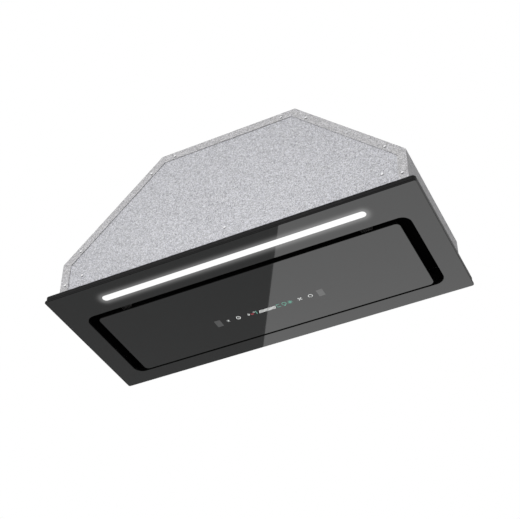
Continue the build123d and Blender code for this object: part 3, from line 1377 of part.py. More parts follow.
def run_capacitor():
    """The motor's run capacitor and the saddle that holds it on the deck."""
    z = DECK_TOP + CAPACITOR_RADIUS + SADDLE_FLOOR
    can = rod((CAPACITOR_X, CAPACITOR_Y, z), (1, 0, 0), CAPACITOR_RADIUS, CAPACITOR_LENGTH)
    low_x = CAPACITOR_X + CAPACITOR_LENGTH / 4
    high_x = CAPACITOR_X + CAPACITOR_LENGTH * 3 / 4
    reach = CAPACITOR_RADIUS + SADDLE_WALL
    saddle = block(low_x, high_x, CAPACITOR_Y - reach, CAPACITOR_Y + reach, DECK_TOP, z)
    saddle -= rod((low_x - 1, CAPACITOR_Y, z), (1, 0, 0), CAPACITOR_RADIUS + RUNNING, high_x - low_x + 2)
    return group([can, saddle])


def lead(points):
    """A round wire along straight runs joined by arcs."""
    path = FilletPolyline(*points, radius=LEAD_BEND)
    return sweep(Plane(path @ 0, z_dir=path % 0) * Circle(LEAD_RADIUS), path)


def motor_lead():
    """The motor's wire, from the control box to the motor's outer face."""
    face = MOTOR_OUTER - RUNNING
    turn = SPIDER_START - LEAD_TURN
    wall = BOX_RIGHT - BOX_WALL
    z = BLOWER_Z - LEAD_DROP
    return lead([(wall, LEAD_Y, LEAD_Z), (turn, LEAD_Y, LEAD_Z), (turn, BLOWER_Y, z), (face, BLOWER_Y, z)])


def lamp_lead():
    """The lamp's wire, from the channel's end up through the deck to the lamp driver."""
    start = CHANNEL_END + CHANNEL_CAP
    low, high = TRAY_FLOOR + CHANNEL_HEIGHT / 2, DECK_TOP + DRIVER_LEAD_RISE
    rise = [(LAMP_LEAD_X, LAMP_Y, low), (LAMP_LEAD_X, LAMP_Y, high)]
    return lead([(start, LAMP_Y, low), *rise, (DRIVER_END, LAMP_Y, high)])


def cable_gland():
    """The gland for the supply cord, through the rear sheet, and the nut inside."""
    seat = BODY_REAR - SHEET
    start = (GLAND_X, seat, GLAND_Z)
    collar_radius, collar_length = GLAND_COLLAR
    nose_radius, nose_length = GLAND_NOSE
    nut_radius, nut_length = GLAND_NUT
    body = rod(start, (0, 1, 0), collar_radius, collar_length)
    body += rod(start, (0, 1, 0), nose_radius, collar_length + nose_length)
    body += rod(start, (0, -1, 0), GLAND_THREAD, GLAND_TAIL)
    whole = GLAND_TAIL + collar_length + nose_length
    body -= rod((GLAND_X, seat - GLAND_TAIL, GLAND_Z), (0, 1, 0), GLAND_BORE, whole)
    hexagon = RegularPolygon(nut_radius, 6) - Circle(GLAND_THREAD + RUNNING)
    nut = along_y(Pos(GLAND_X, GLAND_Z) * hexagon, REAR_INSIDE - nut_length, REAR_INSIDE)
    return group([body, nut])


LEFT_X, RIGHT_X = filter_middles()

NODES = {
    "glass_frame": glass_frame(),
    "glass_tape": glass_tape(),
    "base_tray": base_tray(),
    "light_diffuser": light_diffuser(),
    "lamp_channel": lamp_channel(),
    "lamp_caps": lamp_caps(),
    "lamp_board": lamp_board(),
    "casing_wrap": casing_wrap(),
    "front_sheet": front_sheet(),
    "rear_sheet": rear_sheet(),
    "casing_rivets": casing_rivets(),
    "suction_liner": suction_liner(),
    "filter_deck": filter_deck(),
    "filter_seats": filter_seats(),
    "filter_frame_left": filter_frame(LEFT_X),
    "filter_frame_right": filter_frame(RIGHT_X),
    "filter_core_left": filter_core(LEFT_X),
    "filter_core_right": filter_core(RIGHT_X),
    "filter_latch_left": filter_latch(LEFT_X),
    "filter_latch_right": filter_latch(RIGHT_X),
    "panel_glass": panel_glass(),
    "panel_tape": panel_tape(),
    "panel_pan": panel_pan(),
    "control_housing": control_housing(),
    "touch_board": touch_board(),
    "display_lamps": display_lamps(),
    "hinge_arms": hinge_arms(),
    "panel_screws": panel_screws(),
    "hinge_brackets": hinge_brackets(),
    "strike_plates": strike_plates(),
    "panel_magnets": panel_magnets(),
    "magnet_brackets": magnet_brackets(),
    "blower_band": blower_band(),
    "blower_sides": blower_sides(),
    "inlet_rings": inlet_rings(),
    "blower_feet": blower_feet(),
    "throat_plate": throat_plate(),
    "impeller": impeller(),
    "impeller_blades": impeller_blades(),
    "impeller_nut": impeller_nut(),
    "motor_shaft": motor_shaft(),
    "motor_rotor": motor_rotor(),
    "motor_stator": motor_stator(),
    "motor_can": motor_can(),
    "motor_bearings": motor_bearings(),
    "motor_bushes": motor_bushes(),
    "motor_bracket": motor_bracket(),
    "outlet_collar": outlet_collar(),
    "casing_screws": casing_screws(),
    "pivot_pins": group([hinge_pins(), damper_pins()]),
    "damper_flap_front": damper_flap(-1),
    "damper_flap_rear": damper_flap(1),
    "control_box": control_box(),
    "control_lid": control_lid(),
    "power_board": power_board(),
    "lamp_driver": lamp_driver(),
    "run_capacitor": run_capacitor(),
    "motor_lead": motor_lead(),
    "lamp_lead": lamp_lead(),
    "cable_gland": cable_gland(),
}

os.makedirs("parts", exist_ok=True)
for name, shape in NODES.items():
    export_step(shape, f"parts/{name}.step")
print(len(NODES), "nodes")
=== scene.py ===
"""Looks of a built-in range hood, laid out as a Blender add-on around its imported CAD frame."""
from math import cos, pi, radians, sin

import bmesh
import bpy
from bpy.props import FloatProperty, FloatVectorProperty, IntProperty, PointerProperty
from mathutils import Matrix, Vector


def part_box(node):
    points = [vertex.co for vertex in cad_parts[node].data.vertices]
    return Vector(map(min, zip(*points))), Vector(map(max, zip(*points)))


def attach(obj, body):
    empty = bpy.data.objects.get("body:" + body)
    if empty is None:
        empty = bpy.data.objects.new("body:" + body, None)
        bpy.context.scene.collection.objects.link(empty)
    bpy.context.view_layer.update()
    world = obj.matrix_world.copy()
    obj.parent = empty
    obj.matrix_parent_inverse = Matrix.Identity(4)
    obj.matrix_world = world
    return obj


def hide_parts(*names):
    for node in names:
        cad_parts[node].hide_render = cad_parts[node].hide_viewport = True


bl_info = {
    "name": "Range hood looks",
    "version": (1, 0, 0),
    "blender": (4, 5, 0),
    "location": "3D View > Sidebar > Range hood",
    "description": "Dresses the range hood's CAD frame and sets up its stage",
    "category": "Object",
}

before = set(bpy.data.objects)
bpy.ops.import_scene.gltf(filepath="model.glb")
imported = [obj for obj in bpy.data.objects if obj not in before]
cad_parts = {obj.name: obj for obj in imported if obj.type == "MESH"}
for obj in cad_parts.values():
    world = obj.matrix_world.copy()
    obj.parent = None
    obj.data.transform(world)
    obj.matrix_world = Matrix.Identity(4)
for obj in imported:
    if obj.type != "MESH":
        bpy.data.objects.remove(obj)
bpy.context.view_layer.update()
MM = 0.001

# The camera that matches the photograph
CAMERA_PLACE = (0.6966, -1.3901, -1.2621)
CAMERA_RIGHT = (0.896, 0.4441, 0.0014)
CAMERA_UP = (0.2893, -0.5861, 0.7568)
CAMERA_BACK = (0.3369, -0.6777, -0.6536)
CAMERA_LENS = 78.95

# Lines of the hood that the looks follow
DISPLAY_Y = 45 * MM
LAMP_Y = -108 * MM
LAMP_HALF_RUN = 243.5 * MM
LAMP_RADIUS = 7 * MM
# Reach and strength of the glow painted on the face glass around the lamp
GLOW_REACH = 7.2 * MM
GLOW_STRENGTH = 0.15
# How high the painted shade reaches on the rear sheet's inner face
CHAMBER_TOP = 49.5 * MM
MAINS_BOARD_SKIN = 1.7 * MM
ABOVE_EVERYTHING = 1.0

# Places of the symbols along the display, in millimetres from its middle
LAMP_X = -80.3
CLOCK_X = -60
HOOK_X = -39.5
CORNER_X = -31.5
MARK_X = -30
STROKE_X = -24
STEPS_X = 19.5
TIMER_X = 31
STAR_X = 42.5
FAN_X = 62
POWER_X = 82

# The slider's bars and the sensor windows
SLIDER_X = -2.7 * MM
SLIDER_LIFT = 1.5 * MM
SLIDER_LEAN = 1.3 * MM
SLIDER_RISE = 3.7 * MM
SLIDER_BAR_SHARE = 0.42
WINDOW_XS = (-99.5 * MM, 102 * MM)
WINDOW_HALF = 5.8 * MM
WINDOW_DEPTH = 18 * MM

# The expanded mesh of the filters
MESH_LAYERS = 3
MESH_SHEET = 0.6 * MM
LATCH_ROOM_HALF = 17 * MM
LATCH_ROOM_DEPTH = 26.5 * MM

# Stage: lamps, floor, and the cards whose shared edge shows as the sheen's edge across the glass
LAMP_AIM = (0, 0, 0.12)
AMBIENT = 0.45
FLOOR_REACH = 12.0
FLOOR_LEVEL = -1.75
CARD_LEVEL = -1.0
CARD_LEFT = -3.2
CARD_RIGHT = 2.6
CARD_FRONT = -0.6
CARD_REAR = 2.28
SHEEN_EDGE = ((0.4963, CARD_FRONT), (-0.3655, 0.863), (-0.6576, 1.359), (-1.2, CARD_REAR))
REAR_CARD_Y = 2.2
REAR_CARD_WIDTH = 4.6
REAR_CARD_LOW = -0.6
REAR_CARD_TOP = 4.6


def colour_property(name, description, default):
    """A colour with the usual limits."""
    return FloatVectorProperty(
        name=name, description=description, subtype="COLOR", size=3, min=0.0, max=1.0, default=default
    )


def length_property(name, description, millimetres):
    """A length in the scene's own unit."""
    length = millimetres * MM
    return FloatProperty(
        name=name, description=description, subtype="DISTANCE", unit="LENGTH", min=0.0, default=length
    )


class HoodColours(bpy.types.PropertyGroup):
    """Colours of the hood's finishes."""

    glass: colour_property("Glass", "Black print behind the glass", (0.012, 0.013, 0.013))
    arris: colour_property("Arris", "Ground edge of the glass", (0.005, 0.005, 0.005))
    zinc: colour_property("Zinc", "Galvanised flat sheets", (0.49, 0.49, 0.50))
    wrap_zinc: colour_property("Wrap zinc", "Galvanised folded strip", (0.47, 0.465, 0.46))
    bright: colour_property("Bright steel", "Plated screws, rivets and hinges", (0.62, 0.62, 0.63))
    black: colour_property("Black coat", "Powder coat on tray, liner, deck and pan", (0.008, 0.008, 0.0085))
    aluminium: colour_property("Aluminium", "Filter rims, mesh and lamp channel", (0.72, 0.73, 0.74))
    plastic: colour_property("Black plastic", "Collar, flaps, caps, latches, gland", (0.022, 0.022, 0.023))
    grey: colour_property("Grey plastic", "Impeller and control box", (0.20, 0.21, 0.22))
    pale: colour_property("White plastic", "Lamp driver and capacitor", (0.74, 0.74, 0.72))
    board: colour_property("Circuit board", "Solder mask", (0.02, 0.16, 0.06))
    motor: colour_property("Motor paint", "Shell of the motor", (0.075, 0.078, 0.082))
    lamp: colour_property("Lamp", "Light of the lamp strip", (1.0, 1.0, 1.0))
    symbol: colour_property("Symbols", "White symbols of the display", (0.80, 0.82, 0.81))
    symbol_green: colour_property("Green symbols", "Green symbols of the display", (0.13, 0.42, 0.32))
    symbol_red: colour_property("Red symbols", "Red symbol of the display", (0.42, 0.05, 0.07))
    floor: colour_property("Floor", "Floor of the stage", (0.86, 0.86, 0.86))


class HoodSizes(bpy.types.PropertyGroup):
    """Sizes of the details that are made here."""

    symbol_height: length_property("Symbol height", "Height of a display symbol", 8.6)
    symbol_line: length_property("Symbol line", "Line width of a display symbol", 0.68)
    print_height: length_property("Print height", "How far the symbols stand off the glass", 0.04)
    slider_length: length_property("Slider length", "Length of the slider's bar", 33.0)
    edge_break: length_property("Edge break", "Rounding of folded and cut steel edges", 0.35)
    spangle: length_property("Spangle", "Width of a zinc crystal", 1.3)
    mesh_cell: length_property("Mesh cell", "Long side of one diamond of the filter mesh", 9.0)
    mesh_strand: length_property("Mesh strand", "Width of one strand of the filter mesh", 0.9)
    slider_bars: IntProperty(name="Slider bars", description="Bars of the slider", min=2, default=14)


def colours():
    """The scene's colours."""
    return bpy.context.scene.hood_colours


def sizes():
    """The scene's sizes."""
    return bpy.context.scene.hood_sizes


class Value:
    """A shader socket that adds Math nodes when it is used in arithmetic."""

    def __init__(self, nodes, socket):
        self.nodes = nodes
        self.socket = socket

    def math(self, operation, first, second=0.0):
        return self.nodes.node("ShaderNodeMath", {"operation": operation}, {0: first, 1: second})

    def __add__(self, other):
        return self.math("ADD", self, other)

    def __radd__(self, other):
        return self.math("ADD", other, self)

    def __sub__(self, other):
        return self.math("SUBTRACT", self, other)

    def __rsub__(self, other):
        return self.math("SUBTRACT", other, self)

    def __mul__(self, other):
        return self.math("MULTIPLY", self, other)

    def __rmul__(self, other):
        return self.math("MULTIPLY", other, self)

    def __truediv__(self, other):
        return self.math("DIVIDE", self, other)

    def __pow__(self, other):
        return self.math("POWER", self, other)

    def __gt__(self, other):
        return self.math("GREATER_THAN", self, other)

    def __lt__(self, other):
        return self.math("LESS_THAN", self, other)

    def __abs__(self):
        return self.math("ABSOLUTE", self)

    def largest(self, other):
        return self.math("MAXIMUM", self, other)

    def smallest(self, other):
        return self.math("MINIMUM", self, other)

    def limited(self):
        return self.largest(0.0).smallest(1.0)


class Nodes:
    """Adds nodes to the emptied node tree of a material or a world."""

    def __init__(self, owner):
        owner.use_nodes = True
        self.tree = owner.node_tree
        self.tree.nodes.clear()

    def node(self, kind, settings=None, inputs=None, out=0):
        """Adds a node: its settings first, then the values or links of its sockets."""
        made = self.tree.nodes.new(kind)
        for key, value in (settings or {}).items():
            setattr(made, key, value)
        for key, value in (inputs or {}).items():
            if isinstance(value, Value):
                self.tree.links.new(value.socket, made.inputs[key])
            elif hasattr(value, "__len__") and len(value) == 3 and made.inputs[key].type == "RGBA":
                made.inputs[key].default_value = (*value, 1.0)
            else:
                made.inputs[key].default_value = value
        return Value(self, made.outputs[out]) if made.outputs else None


class Finish(Nodes):
    """Builds one node material around a Principled shader."""

    def __init__(self, name):
        self.material = bpy.data.materials.new(name)
        super().__init__(self.material)
        self.place = self.node("ShaderNodeTexCoord", out="Object")

    def axes(self, source=None):
        """X, Y and Z of a vector, by default of the place on the object."""
        source = source or self.place
        split = self.node("ShaderNodeSeparateXYZ", inputs={0: source}).socket.node
        return [Value(self, split.outputs[index]) for index in range(3)]

    def normal(self):
        """X, Y and Z of the surface's direction."""
        return self.axes(self.node("ShaderNodeTexCoord", out="Normal"))

    def stretched(self, x, y, z):
        """The place on the object, scaled along each axis."""
        return self.node("ShaderNodeMapping", inputs={"Vector": self.place, "Scale": (x, y, z)})

    def noise(self, scale, detail=3.0, vector=None, out=0):
        """Cloudy noise from 0 to 1; the scale is in cells per metre."""
        inputs = {"Vector": vector or self.place, "Scale": scale, "Detail": detail}
        return self.node("ShaderNodeTexNoise", inputs=inputs, out=out)

    def cells(self, scale, feature="F1", out="Distance", vector=None):
        """Crystal-like cells; the scale is in cells per metre."""
        inputs = {"Vector": vector or self.place, "Scale": scale}
        return self.node("ShaderNodeTexVoronoi", {"feature": feature}, inputs, out)

    def mix(self, factor, low, high):
        """A colour between two colours."""
        return self.node("ShaderNodeMix", {"data_type": "RGBA"}, {0: factor, 6: low, 7: high}, out=2)

    def shade(self, colour, amount):
        """A colour made darker or lighter by a factor around 1."""
        grey = self.node("ShaderNodeCombineXYZ", inputs={0: amount, 1: amount, 2: amount})
        settings = {"data_type": "RGBA", "blend_type": "MULTIPLY"}
        return self.node("ShaderNodeMix", settings, {0: 1.0, 6: colour, 7: grey}, out=2)

    def bump(self, height, distance, strength=1.0):
        """A normal from a height; the distance is in metres."""
        inputs = {"Height": height, "Distance": distance, "Strength": strength}
        return self.node("ShaderNodeBump", inputs=inputs)

    def finish(self, inputs):
        """Adds the Principled shader and the output, and returns the material."""
        surface = self.node("ShaderNodeBsdfPrincipled", inputs=inputs)
        self.node("ShaderNodeOutputMaterial", inputs={"Surface": surface})
        return self.material


def smudges(finish, low, high):
    """A roughness that wanders between two values, as on handled surfaces."""
    return finish.noise(9.0, 4.0) * (high - low) + low


def lamp_distance(finish):
    """How far a place on the face lies from the lamp's outline, below zero inside it."""
    x, y, _ = finish.axes()
    along = (abs(x) - LAMP_HALF_RUN).largest(0.0)
    across = y - LAMP_Y
    return (along * along + across * across) ** 0.5 - LAMP_RADIUS


def black_glass(name, lamp_glow=False):
    """Polished black glass with a ground edge, and, where asked, a painted glow of the lamp on the glass
    around the lamp.
    """
    finish = Finish(name)
    tone = colours()
    _, _, up = finish.normal()
    ground = abs(up) < 0.95
    inputs = {
        "Base Color": finish.mix(ground, tone.glass, tone.arris),
        "Roughness": smudges(finish, 0.015, 0.05) + ground * 0.15,
        "IOR": 1.22,
        "Coat Weight": 1 - ground,
        "Coat IOR": 1.72,
        "Coat Roughness": 0.02,
    }
    # Painted light: a faint emission on the glass that fades away from the lamp's outline stands in for the
    # lamp's light spilling into the glass around it.
    if lamp_glow:
        ratio = lamp_distance(finish).largest(0.0) / GLOW_REACH
        glow = ratio.math("EXPONENT", 0 - ratio * ratio)
        inputs["Emission Color"] = finish.shade(tone.lamp, glow * GLOW_STRENGTH)
        inputs["Emission Strength"] = 1.0
    return finish.finish(inputs)


def galvanised(name, zinc, shade_inside_chamber=False):
    """Zinc-coated sheet: fine crystals of different brightness under a mottled sheen; on request, painted
    shade in black on the inner face below the chamber's top.
    """
    finish = Finish(name)
    scale = 1.0 / sizes().spangle
    wander = finish.noise(260.0, 2.0, out="Color")
    drift = finish.node("ShaderNodeVectorMath", {"operation": "SCALE"}, {0: wander, "Scale": 1.6 * MM})
    warped = finish.node("ShaderNodeVectorMath", {"operation": "ADD"}, {0: finish.place, 1: drift})
    crystal = finish.cells(scale, out="Color", vector=warped)
    red, green, _ = finish.axes(crystal)
    edge = finish.cells(scale, "DISTANCE_TO_EDGE", vector=warped)
    grain = finish.noise(1500.0, 2.0)
    cloud = finish.noise(6.0, 3.0)
    tone_shift = 0.56 + red * 0.84 + (grain - 0.5) * 0.70 + (cloud - 0.5) * 0.12
    tint = finish.mix(green, zinc, (zinc[0] * 0.96, zinc[1] * 0.965, zinc[2] * 1.03))
    colour = finish.shade(tint, tone_shift)
    metal = 0.45
    # Painted shade: below the chamber's top, the inner face is turned black and not metallic, standing in
    # for the shade deep inside the chamber.
    if shade_inside_chamber:
        inner_shade = (finish.normal()[1] < -0.5) * (finish.axes()[2] < CHAMBER_TOP)
        colour = finish.mix(inner_shade, colour, colours().black)
        metal = metal - inner_shade * metal
    return finish.finish(
        {
            "Base Color": colour,
            "Metallic": metal,
            "Roughness": 0.36 + green * 0.20 + grain * 0.06,
            "Normal": finish.bump(edge * 0.4 + red * 0.2, 0.05 * MM, 0.6),
        }
    )


def plated_steel(name):
    """Zinc-plated small parts with a faint yellowish haze and fine scratches."""
    finish = Finish(name)
    tone = colours()
    haze = finish.noise(120.0, 3.0)
    scratch = finish.noise(400.0, 2.0, finish.stretched(1.0, 12.0, 1.0))
    warm = (tone.bright[0], tone.bright[1] * 0.97, tone.bright[2] * 0.9)
    return finish.finish(
        {
            "Base Color": finish.mix(haze, tone.bright, warm),
            "Metallic": 1.0,
            "Roughness": 0.22 + haze * 0.12 + scratch * 0.08,
            "Normal": finish.bump(scratch, 0.01 * MM),
        }
    )


def rivet_painted_light(name):
    """Dull rivet heads with a painted highlight on their upper side and painted shade on their lower side.
    """
    finish = Finish(name)
    _, _, up = finish.normal()
    haze = finish.noise(300.0, 3.0)
    # Painted light: the head's colour is lifted above the plated steel towards its upper side and darkened
    # towards its lower side, as light from above would show it.
    painted_light_share = (1.0 + up * 1.2).limited()
    return finish.finish(
        {
            "Base Color": finish.shade(tuple(colours().bright), painted_light_share * 1.35 + haze * 0.12),
            "Metallic": 0.4,
            "Roughness": 0.3 + haze * 0.12,
        }
    )


def powder_coat(name, rough, gloss, lift=1.0):
    """Black powder coat with its fine orange peel and a little dust."""
    finish = Finish(name)
    black = tuple(part * lift for part in colours().black)
    peel = finish.noise(900.0, 2.0)
    dust = finish.noise(25.0, 5.0) ** 3.0
    return finish.finish(
        {
            "Base Color": finish.mix(dust * 0.25, black, (0.02, 0.02, 0.02)),
            "Roughness": rough + peel * 0.08 + dust * 0.15,
            "Specular IOR Level": gloss,
            "Normal": finish.bump(peel, 0.04 * MM, 0.6),
        }
    )


def milky_lens(name):
    """The lit lamp lens."""
    finish = Finish(name)
    tone = colours()
    frost = finish.noise(1500.0, 2.0)
    inside = (0 - lamp_distance(finish) / (2 * MM)).limited()
    return finish.finish(
        {
            "Base Color": finish.mix(frost * 0.2, (0.30, 0.30, 0.30), (0.26, 0.26, 0.26)),
            "Roughness": 0.35 + frost * 0.1,
            "Emission Color": finish.shade(tone.lamp, 0.78 + inside * 0.22),
            "Emission Strength": 0.9,
        }
    )


def rolled_aluminium(name, across=False):
    """Mill-finish aluminium with fine lines along its length."""
    finish = Finish(name)
    tone = colours()
    vector = finish.stretched(40.0, 1.0, 1.0) if across else finish.stretched(1.0, 40.0, 40.0)
    line = finish.noise(60.0, 4.0, vector)
    cloud = finish.noise(14.0, 2.0)
    return finish.finish(
        {
            "Base Color": finish.shade(tone.aluminium, 0.86 + line * 0.2 + cloud * 0.08),
            "Metallic": 1.0,
            "Roughness": 0.26 + line * 0.16,
            "Normal": finish.bump(line, 0.015 * MM),
        }
    )


def moulded_plastic(name, tone, rough=0.5, grain=700.0):
    """Moulded plastic with a fine spark-eroded grain."""
    finish = Finish(name)
    speck = finish.noise(grain, 2.0)
    cloud = finish.noise(18.0, 3.0)
    return finish.finish(
        {
            "Base Color": finish.shade(tuple(tone), 0.92 + cloud * 0.16),
            "Roughness": rough + speck * 0.1 - cloud * 0.06,
            "Normal": finish.bump(speck, 0.03 * MM, 0.5),
        }
    )


def foam_tape(name):
    """Matt black foam with open pores."""
    finish = Finish(name)
    pore = finish.cells(1600.0)
    return finish.finish(
        {
            "Base Color": finish.mix(pore, (0.008, 0.008, 0.008), (0.03, 0.03, 0.03)),
            "Roughness": 0.85 + pore * 0.1,
            "Normal": finish.bump(pore, 0.1 * MM),
        }
    )


def rubber(name):
    """Matt rubber with a dusty bloom."""
    finish = Finish(name)
    bloom = finish.noise(60.0, 4.0)
    return finish.finish(
        {
            "Base Color": finish.mix(bloom, (0.012, 0.012, 0.012), (0.035, 0.034, 0.033)),
            "Roughness": 0.72 + bloom * 0.2,
            "Normal": finish.bump(bloom, 0.05 * MM, 0.4),
        }
    )


def circuit_board(name, top, parts):
    """Green board with paler tracks below a level, and the colour of its parts above it."""
    finish = Finish(name)
    tone = colours()
    black, white = (0.0, 0.0, 0.0), (1.0, 1.0, 1.0)
    spacing = {"Vector": finish.place, "Scale": 120.0, "Mortar Size": 0.03}
    paint = {"Color1": black, "Color2": black, "Mortar": white}
    track = finish.node("ShaderNodeTexBrick", inputs={**spacing, **paint})
    mask = finish.axes(track)[0]
    track_green = (tone.board[0] * 2.5, tone.board[1] * 2.0, tone.board[2] * 2.0)
    green = finish.mix(mask * 0.5, tone.board, track_green)
    above = finish.axes()[2] > top
    return finish.finish(
        {
            "Base Color": finish.mix(above, green, parts),
            "Roughness": 0.34 + mask * 0.2 + above * 0.15,
            "Normal": finish.bump(mask, 0.03 * MM),
        }
    )


def motor_paint(name):
    """Dark satin paint on the motor's drawn shell."""
    finish = Finish(name)
    tone = colours()
    speck = finish.noise(500.0, 3.0)
    return finish.finish(
        {
            "Base Color": finish.shade(tone.motor, 0.85 + speck * 0.3),
            "Metallic": 0.2,
            "Roughness": 0.34 + speck * 0.12,
            "Normal": finish.bump(speck, 0.02 * MM),
        }
    )


def magnet_nickel(name):
    """Nickel-plated magnets."""
    finish = Finish(name)
    mark = finish.noise(300.0, 3.0)
    return finish.finish(
        {
            "Base Color": finish.mix(mark, (0.56, 0.55, 0.52), (0.66, 0.65, 0.62)),
            "Metallic": 1.0,
            "Roughness": 0.12 + mark * 0.12,
        }
    )


def lead_sheath(name):
    """Soft black sheath of the inner leads."""
    finish = Finish(name)
    ripple = finish.noise(220.0, 2.0)
    return finish.finish(
        {
            "Base Color": finish.mix(ripple, (0.02, 0.02, 0.021), (0.035, 0.035, 0.036)),
            "Roughness": 0.45 + ripple * 0.12,
            "Normal": finish.bump(ripple, 0.03 * MM, 0.5),
        }
    )


def lit_symbol(name, tone, strength):
    """A lit symbol, a little uneven as printed light guides are."""
    finish = Finish(name)
    spot = finish.noise(600.0, 2.0)
    return finish.finish(
        {
            "Base Color": finish.shade(tuple(tone), 0.25 + spot * 0.1),
            "Roughness": 0.25 + spot * 0.1,
            "Emission Color": finish.shade(tuple(tone), 0.8 + spot * 0.4),
            "Emission Strength": strength,
        }
    )


def sensor_window(name):
    """A slightly lighter square in the black print."""
    finish = Finish(name)
    dot = finish.cells(1400.0)
    return finish.finish(
        {
            "Base Color": finish.mix(dot, (0.12, 0.122, 0.122), (0.16, 0.162, 0.162)),
            "Roughness": 0.08 + dot * 0.04,
            "Coat Weight": 1.0,
            "Coat Roughness": 0.02,
        }
    )


def dress(material, *nodes):
    """Gives CAD nodes a finish."""
    for node in nodes:
        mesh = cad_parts[node].data
        mesh.materials.clear()
        mesh.materials.append(material)


def break_edges(width, *nodes, segments=2):
    """Rounds the sharp edges of CAD nodes by modifiers, so their highlights read."""
    for node in nodes:
        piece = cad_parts[node]
        for polygon in piece.data.polygons:
            polygon.use_smooth = True
        weld = piece.modifiers.new("weld", "WELD")
        weld.merge_threshold = 0.005 * MM
        bevel = piece.modifiers.new("edges", "BEVEL")
        bevel.width = width
        bevel.segments = segments
        bevel.limit_method = "ANGLE"
        bevel.angle_limit = radians(30)
        bevel.harden_normals = True


def new_piece(name, mesh, body, material, replaced=()):
    """Turns a bmesh into a piece that rides on a body."""
    data = bpy.data.meshes.new(name)
    mesh.to_mesh(data)
    mesh.free()
    data.materials.append(material)
    piece = bpy.data.objects.new(name, data)
    bpy.context.scene.collection.objects.link(piece)
    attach(piece, body)
    if replaced:
        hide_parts(*replaced)
    return piece


def add_bar(mesh, start, end, width, z_low, z_high):
    """A straight flat bar between two points of the face."""
    start, end = Vector(start), Vector(end)
    run = end - start
    centre = (start + end) / 2
    turn = Matrix.Rotation(run.angle_signed(Vector((1, 0))) if run.length else 0.0, 4, "Z")
    size = Matrix.Diagonal((run.length, width, z_high - z_low, 1))
    place = Matrix.Translation((centre.x, centre.y, (z_low + z_high) / 2))
    bmesh.ops.create_cube(mesh, size=1.0, matrix=place @ turn @ size)


def add_ring(mesh, centre, radius, width, z_low, z_high, start=0.0, sweep=2 * pi, steps=28):
    """A flat ring or arc: a small rectangle spun about the ring's middle."""
    inner, outer = radius - width / 2, radius + width / 2
    angle = Vector((cos(start), sin(start), 0))
    corners = [
        mesh.verts.new(Vector((centre[0], centre[1], z)) + angle * reach)
        for reach, z in ((inner, z_low), (outer, z_low), (outer, z_high), (inner, z_high))
    ]
    full = abs(sweep - 2 * pi) < 1e-6
    if full:
        pairs = zip(corners, corners[1:] + corners[:1])
        geometry = corners + [mesh.edges.new(pair) for pair in pairs]
    else:
        face = mesh.faces.new(corners)
        geometry = [face] + list(face.edges) + corners
    bmesh.ops.spin(
        mesh, geom=geometry, cent=(centre[0], centre[1], 0), axis=(0, 0, 1), dvec=(0, 0, 0), angle=sweep,
        steps=steps, use_merge=full, use_duplicate=False,
    )


def add_dot(mesh, centre, radius, z_low, z_high, segments=16):
    """A flat round dot."""
    place = Matrix.Translation((centre[0], centre[1], (z_low + z_high) / 2))
    depth = z_high - z_low
    bmesh.ops.create_cone(
        mesh, cap_ends=True, segments=segments, radius1=radius, radius2=radius, depth=depth, matrix=place
    )


def tidy_mesh(mesh):
    """Merges doubles and turns all faces outwards."""
    bmesh.ops.remove_doubles(mesh, verts=mesh.verts, dist=0.001 * MM)
    bmesh.ops.recalc_face_normals(mesh, faces=mesh.faces)
    return mesh


def print_levels():
    """The lower and upper side of what is printed under the panel glass."""
    height = sizes().print_height
    return -height, -height / 4


def towards(turn, reach):
    """A point at an angle and a distance from a symbol's middle."""
    return reach * cos(turn), reach * sin(turn)


class SymbolPen:
    """Draws symbols on the panel glass around a middle, in parts of the symbol's half height."""

    def __init__(self, mesh, x):
        self.mesh = mesh
        self.x = x
        self.half = sizes().symbol_height / 2
        self.line = sizes().symbol_line
        self.levels = print_levels()

    def point(self, across, up):
        return Vector((self.x + across * self.half, DISPLAY_Y + up * self.half))

    def bar(self, first, second, weight=1.0):
        add_bar(self.mesh, self.point(*first), self.point(*second), self.line * weight, *self.levels)

    def ring(self, across, up, radius, start=0.0, sweep=360.0):
        turn = (radians(start), radians(sweep))
        add_ring(self.mesh, self.point(across, up), radius * self.half, self.line, *self.levels, *turn)

    def dot(self, across, up, radius):
        add_dot(self.mesh, self.point(across, up), radius * self.half, *self.levels)


def draw_lamp(pen):
    """A small disc with rays."""
    pen.dot(0, 0, 0.24)
    for index in range(8):
        turn = index * pi / 4
        pen.bar(towards(turn, 0.45), towards(turn, 0.75), 0.45)


def draw_clock(pen):
    """A ring with two hands."""
    pen.ring(0, 0, 0.85)
    pen.bar((0, 0), (0, 0.5), 0.5)
    pen.bar((0, 0), (0.35, 0), 0.4)


def draw_hook(pen):
    """An open hook."""
    pen.ring(0, 0.1, 0.36, -60, 240)
    pen.bar((-0.4, -0.42), (0.42, -0.42), 0.9)


def draw_corner(pen):
    """A red square bracket."""
    pen.bar((-0.7, 0.6), (0.3, 0.6), 1.4)
    pen.bar((-0.7, 0.6), (-0.7, -0.2), 1.4)
    pen.bar((-0.2, 0.1), (0.5, 0.1), 1.2)


def draw_mark(pen):
    """A short white tick under the red bracket."""
    pen.bar((0.1, -0.7), (0.7, -0.55), 1.0)
    pen.bar((0.7, -0.55), (1.0, -0.3), 1.0)


def draw_fan(pen):
    """Four blades around a hub."""
    pen.dot(0, 0, 0.16)
    for index in range(4):
        turn = index * pi / 2 + pi / 5
        side = turn + 0.5
        pen.bar(towards(turn, 0.2), towards(turn, 0.95), 0.8)
        pen.bar(towards(turn, 0.95), towards(side, 0.85), 0.8)


def draw_power(pen):
    """A ring that is open at the top, with a stroke in the gap."""
    pen.ring(0, 0, 0.85, 125, 290)
    pen.bar((0, 0.45), (0, 1.0), 0.8)


def draw_stroke(pen):
    """One upright stroke."""
    pen.bar((0, -1.05), (0, 1.15), 1.1)


